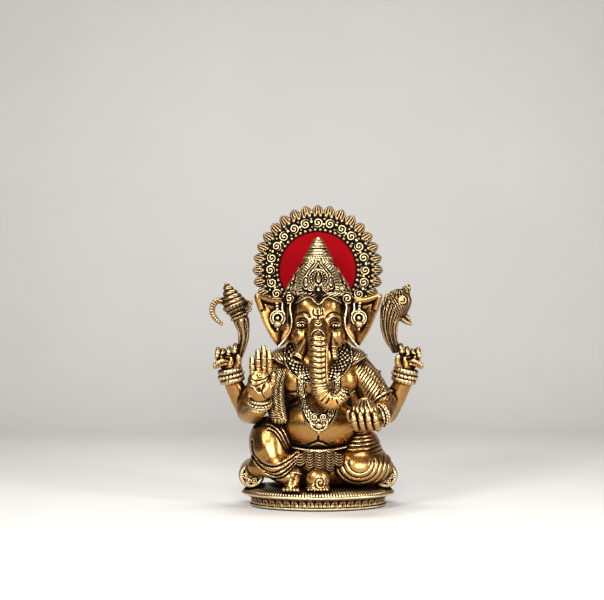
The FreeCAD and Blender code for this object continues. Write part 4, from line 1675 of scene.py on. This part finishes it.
def bracelet(p, centre, axis, big, high):
    """A stack of rounded bands with ribs and a beaded middle row."""
    a, b, h = local(p, centre, basis(axis))
    r, turn = polar(a, b)
    t = h / high
    height = 0.9 * ridges((t + 0.5) * BANGLE_BANDS, 0.55)
    ribs = ridges(turn * BANGLE_STUDS / (2 * np.pi), 0.7)
    middle = groove(t, 0.16)
    height = height + 0.35 * ribs * (1 - middle)
    bead = length(from_mark(turn, BANGLE_STUDS, big), h) - high * 0.12
    height = height + 0.9 * fade(0.6 - bead * 1.6)
    d = np.maximum(r - big - height, np.abs(h) - high / 2)
    return np.maximum(d, big * 0.55 - r)


def armlet(p, centre, axis, big):
    band = torus(p, centre, axis, big, 0.8, 2.2)
    a, b, h = local(p, centre, basis(axis))
    r, turn = polar(a, b)
    beads = length(r - big - 0.5, from_mark(turn, 18, big), h) - 1.15
    return join(band, beads, 0.2)


def rear_arm_field(name):
    side = SIDES[name]
    node = f"rear_{name}_arm"

    def field(p):
        upper = outward(node, side, [(-17, 3.2, 17.5, 10), (-3, 3.2, 0.5, 9.3), (6, 0.2, -17.5, 8)])
        fore = outward(node, side, [(7, -0.7, -19.5, 8), (13, -3.7, -8.5, 7.6), (19, -6.7, 4, 6.6)])
        d = join(tube(p, upper, 4)[0], tube(p, fore, 4)[0], 4)
        band = near(node, side * -6.5, 3.4, 5.5)
        d = join(d, armlet(p, band, (side * 0.62, -0.1, -0.9), 9.7), 0.4)
        x, _, z = local(p, near(node, side * 3.5, 0, -14.5))
        crease = length(x * 0.5, z)
        return d + 0.35 * groove(crease, 0.8) * front(p, mid(node)[1] - 2, 3)
    return field


CURLED = [[(x + 0.6, y + 2.2, z - 6, 2.0), (x, y + 0.4, z - 0.6, 2.0), (x - 0.2, y - 3.6, z + 0.3, 1.95),
           (x + 0.3, y - 5.8, z - 3.8, 1.8)]
          for x, y, z in ((-3.0, 1.2, 11.2), (1.6, 0.8, 8.8), (6.0, 0.4, 7.4), (9.8, 0, 8.2))]
POINTING = [[(2.5, -3.6, 1.5, 2.1), (7.5, -4.8, 0.2, 1.95), (11.8, -5, -2.6, 1.6)],
            [(4.0, -2.5, -2.0, 2.0), (8.5, -4.0, -2.6, 1.8), (12.2, -4.2, -4.6, 1.4)],
            [(-3.8, -2.5, -5, 2.4), (-6, -4, -0.6, 2.2), (-5.4, -5, 4, 1.8)]]


def rear_hand_field(name):
    """Fingers curled over the emblem's stem, the first finger and thumb pointing out."""
    side = SIDES[name]
    node = f"rear_{name}_hand"

    def field(p):
        wrist = outward(node, side, [(0.2, 1.6, -11, 5.6), (0.6, 1.4, -5, 5.2), (1.0, 1.4, 1, 4.6)])
        d = tube(p, wrist, 3)[0]
        d = join(d, egg(p, near(node, side * 3.4, 1.0, 0), (6.4, 4.2, 7.2)), 2.5)
        for stations in CURLED + POINTING:
            body, along, _ = tube(p, outward(node, side, stations), 4)
            d = join(d, body + 0.25 * groove(near_whole(along / 4.2 - 0.35) * 4.2, 0.35), 0.35)
        hollow = egg(p, near(node, side * 2.4, -5.6, 2.6), (5.2, 2.6, 2.2), turned_by((0, 1, 0), side * 30))
        return cut(d, hollow, 0.8)
    return field


def goad_field(p):
    """A conical spired head with a beaded hook, on a leaf-wrapped stem."""
    node, side = "goad", RIGHT
    stem = outward(node, side, [(-5.9, 0, -27, 2.8), (-8.6, 0, -17, 3.9), (-9.2, 0, -8, 4.8),
                                (-7.6, 0, -0.5, 6.2)])
    d, along, out = tube(p, stem, 4)
    around = np.arctan2(out[1], out[0])
    leaf = near_whole(around * 3 / np.pi) * 2
    d = d - 1.2 * ridges(around * 3 / np.pi + 0.12 * np.sin(along / 3), 0.5)
    d = d + 0.9 * groove(np.abs(leaf) - 0.4 * np.abs(np.sin(along / 4.4)), 0.16)
    r, turn, h, long = spire_view(p, near(node, side * -6.6, 0, 2.2), near(node, side * 4.6, 0, 28.4))
    heights = (-2.0, 0, 1.6, 2.2, 4.0, 4.6, 7.0, 7.6, 10.0, 10.8, 14.5, 19.0, 23.5, long - 1.6, long)
    radii = (5.4, 7.2, 7.6, 6.6, 7.2, 7.0, 9.2, 8.4, 9.6, 9.4, 8.4, 6.4, 4.0, 2.4, 0.2)
    wall = np.interp(h, heights, radii)
    thread = ridges(h / 3.6 + turn / (2 * np.pi), 0.5) * fade((h - 10.5) / 1.5)
    notch = ridges(turn * 9 / np.pi, 0.7) * groove(h - 9.0, 1.2)
    bead = ridges(turn * 11 / np.pi, 0.8) * (groove(h - 5.8, 0.9) + groove(h - 1.0, 0.8))
    wall = wall + 1.7 * thread + 1.1 * notch + 1.2 * bead
    for ring in (-0.6, 2.0, 4.4, 7.4):
        wall = wall - 1.0 * groove(h - ring, 0.45)
    d = join(d, np.maximum((r - wall) * 0.88, -2.2 - h), 0.4)
    hook = outward(node, side, [(4.5, -0.6, 14, 2.6), (10, -0.6, 15, 2.5), (13.8, -0.6, 11, 2.4),
                                (14.0, -0.6, 5.4, 2.3), (11, -0.6, 0.6, 2.0), (7.6, -0.6, -2.2, 1.5)])
    bow, run, hook_out = tube(p, hook, 4)
    beading = 0.8 * ridges(run / 2.0, 0.7) * fade((run - 4) / 3)
    bow = bow + 0.55 * groove(hook_out[1] + 1.9, 0.35) - beading
    d = join(d, bow, 0.5)
    for dx, dz, big in ((-13.0, 13.2, 3.0), (-13.4, 8.6, 2.2)):
        c = near(node, side * dx, -0.4, dz)
        knob = torus(p, c, (0, 1, 0), big * 0.62, big * 0.36, 1.3)
        d = join(d, join(knob, egg(p, c + (0, -0.3, 0), (big * 0.4, 1.2, big * 0.4)), 0.3), 0.5)
    return d


def conch_field(p):
    """A spired shell on a curved, scaled body."""
    node, side = "conch", LEFT
    body = outward(node, side, [(-2.2, 0, -21.5, 2.4), (-5.6, 0, -12, 4.4), (-6.6, 0, -2, 6.2),
                                (-4.4, 0, 8, 8.4), (0.5, 0, 14.5, 8.8)])
    d, along, out = tube(p, body, 5)
    around = np.arctan2(out[0], -out[1])
    column = around * 3.4
    row = along / 2.0 + 0.5 * (np.floor(column + 0.5) % 2)
    scale = length(near_whole(column) * 1.6, near_whole(row) * 2.0)
    d = d + 0.5 - 1.5 * fade(1.15 - scale) - 0.5 * ridges(column + 0.5, 0.6)
    r, turn, h, long = spire_view(p, near(node, -2.4, 0, 8.6), near(node, 8.8, 0, 27.6))
    heights = (-2, 0, 2.0, 4.2, 7.0, 11.0, 14.5, 16.8, 17.4, 19.4, long)
    radii = (8.6, 9.4, 9.6, 9.9, 9.4, 7.6, 5.0, 3.1, 3.6, 2.6, 0.3)
    wall = np.interp(h, heights, radii)
    rings = ridges(h / 1.45 + turn / (2 * np.pi), 0.55) * fade((5.6 - h) / 1.5)
    whorl = ridges(h / 2.9 + turn / (2 * np.pi) + 0.3, 0.5) * fade((h - 5.4) / 1.5)
    crumbs = ridges(turn * 9 / np.pi + h / 2, 0.7) * fade((14 - h) / 3)
    wall = wall + 0.9 * rings + 1.3 * whorl + 0.8 * crumbs
    d = join(d, np.maximum((r - wall) * 0.88, -2.2 - h), 0.5)
    c = near(node, 2.6, -8.0, 15.5)
    boss = join(egg(p, c, (3.4, 1.6, 3.2)), torus(p, c + (0, -1.1, 0), (0.1, 1, -0.2), 2.6, 0.6), 0.4)
    d = join(d, boss, 0.6)
    curl = outward(node, side, [(-6.4, -1, 8, 1.8), (-8.8, -1, 13.5, 1.9), (-8.2, -1, 18.2, 1.8),
                                (-5.4, -1, 18.8, 1.5), (-5.0, -1, 15.4, 1.2)])
    d = join(d, tube(p, curl, 4)[0], 0.5)
    lip = outward(node, side, [(1.5, -1, 2.5, 2.4), (5.4, -1.4, -0.6, 2.0), (9.4, -1.4, -2.6, 1.2)])
    fringe, run, _ = tube(p, lip, 4)
    d = join(d, fringe - 0.5 * ridges(run / 1.7, 0.7), 0.5)
    spur = outward(node, side, [(5.0, -0.6, 4.2, 2.0), (7.6, -1, 1.8, 1.5), (8.6, -1.2, -0.6, 0.9)])
    return join(d, tube(p, spur, 4)[0], 0.5)


def front_right_arm_field(p):
    upper = route("torso", [(-26, 3, 19, 10.5), (-35, 0, 13, 11), (-44, -2, 3, 10.6), (-50, -6, -8, 9.6)])
    fore = route("torso", [(-51, -7, -12, 9.2), (-48, -18, -12, 8), (-43.5, -28, -8, 6.8)])
    d = join(tube(p, upper, 4)[0], tube(p, fore, 4)[0], 4)
    band = armlet(p, near("torso", -42, -1.8, 5.4), (0.56, 0.22, 0.78), 11.2)
    d = join(d, band, 0.4)
    cuff = torus(p, near("torso", -43.8, -29.5, -7), (0.1, -0.5, 1), 7.0, 0.8)
    return join(d, cuff, 0.5)


def front_left_arm_field(p):
    """The upper arm under a sleeve of slanting folds, with a corded hem over the elbow."""
    upper = route("torso", [(26, 3, 19, 10.5), (34, 0, 12, 11), (42, -3, 2, 10.8), (48.5, -7, -6, 9.8)])
    fore = route("torso", [(49, -10, -9, 9.2), (47.5, -19, -12, 7.8), (45.5, -25, -13.8, 6.4)])
    x, _, z = local(p, near("torso", 41, 0, 5))
    sleeve, along, _ = tube(p, upper, 4)
    stripe = (x * 0.84 - z * 0.54) / 2.3
    lengthwise = (x * 0.54 + z * 0.84) / 4.6
    dash = ridges(lengthwise + 0.5 * (np.round(stripe) % 2), 0.8) * fade((x - 1) / 4)
    face = front(p, mid("torso")[1] + 2, 5)
    reach = fade((x + 9 + 0.35 * z) / 3)
    sleeve = sleeve - face * reach * (1.1 * ridges(stripe, 0.5) + 0.5 * dash)
    sleeve = sleeve - 0.5 * (1 - face) * ridges(along / 3.4, 0.7)
    d = join(sleeve, tube(p, fore, 4)[0], 3)
    hem = torus(p, near("torso", 46.6, -5.8, -3.6), (0.6, -0.35, -0.75), 10.4, 1.0)
    return join(d, hem, 0.4)


def finger(p, stations, creases=(0.36, 0.68)):
    """A finger with its joints creased, pad side and back. creases are shares of its length."""
    d, along, _ = tube(p, stations, 4)
    whole = path_length(stations)
    for share in creases:
        d = d + 0.38 * groove(along - whole * share, 0.38)
    return d


RAISED = ((-6.4, -7.2, -7.3, 12.8), (-2.4, -3.0, -3.2, 17.8), (1.6, 1.2, 0.9, 20.6), (5.5, 5.2, 4.8, 17.6))
PALM_LINES = lines_on("front_right_hand", [[(-8.5, -3.6), (-4, -5.2), (1, -4.2), (5.2, -1.6)],
                                           [(-8, -8.4), (-3.4, -8.6), (1.6, -6.4), (4.6, -3.4)],
                                           [(1.8, -17.5), (-0.2, -13), (1.2, -8.2), (4.6, -4.4)]])


def raised_hand_field(p):
    """The open right hand, held up with its palm to the front."""
    node = "front_right_hand"
    palm = egg(p, near(node, -1.3, 0.6, -7.6), (9.4, 4.2, 12.3))
    palm = join(palm, tube(p, route(node, [(-1.4, 0.4, -12, 6.4), (-2, 2.4, -21, 6.0)]), 1)[0], 2)
    palm = join(palm, egg(p, near(node, 3.6, -1.8, -11), (4.6, 3.4, 7.0)), 1.5)
    palm = join(palm, egg(p, near(node, -6.0, -1.2, -10), (3.8, 3.0, 8.0)), 1.5)
    d = cut(palm, egg(p, near(node, -1.6, -5.6, -7.0), (3.4, 2.4, 6.0)), 2.0)
    for x0, x1, x2, top in RAISED:
        row = route(node, [(x0, 0.5, -2.5, 2.4), (x1, 0, top - 9, 2.35), (x2, 0.2, top - 2, 1.85)])
        d = join(d, finger(p, row), 0.15)
        nail = egg(p, np.array(row[-1][:3]) + (0, 1.7, 0.4), (1.2, 0.5, 1.5))
        d = join(d, nail, 0.15)
    thumb = route(node, [(4.0, -0.2, -12, 3.4), (7.4, -1.2, -6.8, 2.9), (8.2, -2.0, -1.4, 2.2)])
    d = join(d, finger(p, thumb, (0.464, 0.777)), 0.6)
    x, _, z = local(p, mid(node))
    face = front(p, mid(node)[1], 1)
    lines = seen(p, PALM_LINES)
    d = d + 0.55 * face * groove(lines, 0.42)
    star = length(x + 1.6, z + 1.2)
    petal = ridges(np.arctan2(z + 1.2, x + 1.6) * 3 / np.pi, 0.8)
    return d - 0.6 * face * fade((2.0 + 0.5 * petal - star) * 2) * (1 - groove(star, 0.7))


def modak_field(p):
    """A pleated sweet dumpling, its folds gathered to a point."""
    c = near("torso", 33, -36, -10.2)
    d = join(egg(p, c, (10.4, 8.6, 8.8)), egg(p, c + (0.4, -0.4, 6.4), (4.4, 4.0, 4.6)), 3)
    x, y, z = local(p, c)
    turn = np.arctan2(x, -y)
    return d - 1.3 * ridges(turn * 6.5 / np.pi + 0.04 * z, 0.5) * fade((11.5 - z) / 4)


def giving_hand_field(p):
    """The left hand, its fingers round the sweet."""
    d = egg(p, near("torso", 34.4, -35, -19.2), (12.4, 8.3, 5.0))
    wrist = route("torso", [(49.0, -23.8, -12.6, 6.3), (45.5, -25.9, -13.5, 6.3), (41.0, -29.5, -14.6, 6.3),
                            (37.0, -33.0, -16.6, 6.0)])
    d = join(d, tube(p, wrist, 1)[0], 2)
    for x in (41.4, 36.2, 31, 25.8):
        row = route("torso", [(x + 1.4, -38.5, -21.5, 2.5), (x + 0.2, -43.2, -19, 2.45),
                              (x - 0.8, -45.2, -14.8, 2.3), (x - 1.4, -44.8, -11.4, 1.9)])
        d = join(d, finger(p, row), 0.2)
    thumb = route("torso", [(28, -35, -18.5, 2.8), (22.6, -38.5, -14.5, 2.4), (21.4, -41, -9.6, 1.9)])
    return join(d, finger(p, thumb, (0.377, 0.640)), 0.5)


def make_arms():
    for name, side in SIDES.items():
        sculpt(f"rear_arm_{name}", f"rear_{name}_arm", rear_arm_field(name), "figure", 0.5)
        sculpt(f"rear_hand_{name}", f"rear_{name}_hand", rear_hand_field(name), "figure", 0.3, 9)
        band = functools.partial(bracelet, centre=near(f"rear_{name}_bracelet", 0, 0, 1.0),
                                 axis=(side * 0.22, -0.1, 1), big=9.6, high=11.0)
        sculpt(f"rear_bangle_{name}", f"rear_{name}_bracelet", band, "ornament", 0.32)
    sculpt("emblem_goad", "goad", goad_field, "ornament", 0.34, stain_and_painted_shade=even_darkening(0.22))
    sculpt("emblem_conch", "conch", conch_field, "ornament", 0.34, stain_and_painted_shade=even_darkening(0.22))
    sculpt("arm_right", "front_right_arm", front_right_arm_field, "figure", 0.48)
    sculpt("arm_left", "front_left_arm", front_left_arm_field, "figure", 0.42)
    sculpt("hand_raised", "front_right_hand", raised_hand_field, "figure", 0.28)
    sculpt("sweet", "modak", modak_field, "figure", 0.32)
    sculpt("hand_giving", "front_left_hand", giving_hand_field, "figure", 0.3, 6)
    for name, axis in (("right", (0.05, -0.35, 1)), ("left", (-0.85, -0.48, -0.2))):
        node = f"front_{name}_bracelet"
        band = functools.partial(bracelet, centre=mid(node), axis=axis, big=8.2, high=7.0)
        sculpt(f"bangle_{name}", node, band, "ornament", 0.3)


# ---- scene ----

def keep_node(name, mat):
    """A CAD node that stays on show, with a worked finish."""
    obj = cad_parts[name]
    obj.data.materials.clear()
    obj.data.materials.append(mat)


def make_kept_nodes():
    zinc = steel("zinc_steel", (0.42, 0.43, 0.45), (0.66, 0.67, 0.69))
    black = steel("black_steel", (0.02, 0.017, 0.014), (0.06, 0.048, 0.036))
    keep_node("halo_stay", brushed_brass())
    keep_node("halo_screws", black)
    keep_node("base_screws", zinc)
    keep_node("base_felt", black_felt())


def plain_floor():
    """A pale sweep: floor in front, curving up behind."""
    far, foot, bow, steps = 3.0, 0.55, 0.35, 12
    profile = [(-far, 0.0), (foot, 0.0)]
    for i in range(1, steps + 1):
        a = math.pi / 2 * i / steps
        profile.append((foot + bow * math.sin(a), bow * (1 - math.cos(a))))
    profile.append((foot + bow, far))
    points = [(x, y, z) for x in (-far, far) for y, z in profile]
    n = len(profile)
    faces = [(i, i + n, i + n + 1, i + 1) for i in range(n - 1)]
    mesh = bpy.data.meshes.new("sweep")
    mesh.from_pydata(points, [], faces)
    mesh.polygons.foreach_set("use_smooth", [True] * len(faces))
    sweep = bpy.data.objects.new("sweep", mesh)
    bpy.context.scene.collection.objects.link(sweep)
    mat, nodes, links, shader = material("paper")
    grain = noise(nodes, links, 6, 3)
    tone = mixed(nodes, links, grain, (0.66, 0.64, 0.61), (0.72, 0.70, 0.67))
    links.new(tone, shader.inputs["Base Color"])
    shader.inputs["Roughness"].default_value = 0.9
    mesh.materials.append(mat)


def area_light(name, place, target, size, power):
    data = bpy.data.lights.new(name, "AREA")
    data.shape = "RECTANGLE"
    data.size, data.size_y = size
    data.energy = power
    lamp = bpy.data.objects.new(name, data)
    bpy.context.scene.collection.objects.link(lamp)
    way = np.array(target) - np.array(place)
    lamp.location = place
    lamp.rotation_euler = direction(way)


def direction(way):
    """Euler angles that turn -Z towards way, with +Y up."""
    x, y, z = way / np.linalg.norm(way)
    return (math.acos(max(-1, min(1, -z))), 0, math.atan2(-x, y))


def studio():
    middle = (0, 0, 0.11)
    area_light("key", (-0.45, -0.65, 0.62), middle, (0.26, 0.26), 5.5)
    area_light("fill", (0.66, -0.52, 0.34), middle, (0.16, 0.42), 4)
    area_light("front", (0.05, -1.30, 0.50), middle, (0.44, 0.20), 10)
    area_light("low_front", (-0.02, -1.15, 0.27), middle, (0.30, 0.09), 3.5)
    area_light("top", (0.0, 0.05, 0.85), middle, (0.4, 0.2), 4)
    world = bpy.data.worlds.new("room")
    bpy.context.scene.world = world
    world.use_nodes = True
    back = world.node_tree.nodes["Background"]
    back.inputs["Color"].default_value = (0.9, 0.93, 1.0, 1)
    back.inputs["Strength"].default_value = 0.07


def camera():
    data = bpy.data.cameras.new("camera")
    data.lens, data.sensor_width = 79.5, 36
    data.clip_start, data.clip_end = 0.05, 20
    eye = bpy.data.objects.new("camera", data)
    low, high = [np.array(v) for v in CAD_BOX]
    eye.location = (-0.012, -1.0, low[2] + 0.68 * (high[2] - low[2]))
    eye.rotation_euler = (math.pi / 2, 0, 0)
    bpy.context.scene.collection.objects.link(eye)
    bpy.context.scene.camera = eye


def view_settings():
    scene = bpy.context.scene
    scene.view_settings.view_transform = "Standard"
    scene.view_settings.look = "None"


make_base()
make_body()
make_dress()
make_head()
make_crown()
make_arms()
make_halo()
shade_low, shade_grid = figure_grid()
for skin in skins:
    cast_piece(skin, shade_low, shade_grid)
make_kept_nodes()
plain_floor()
studio()
camera()
view_settings()
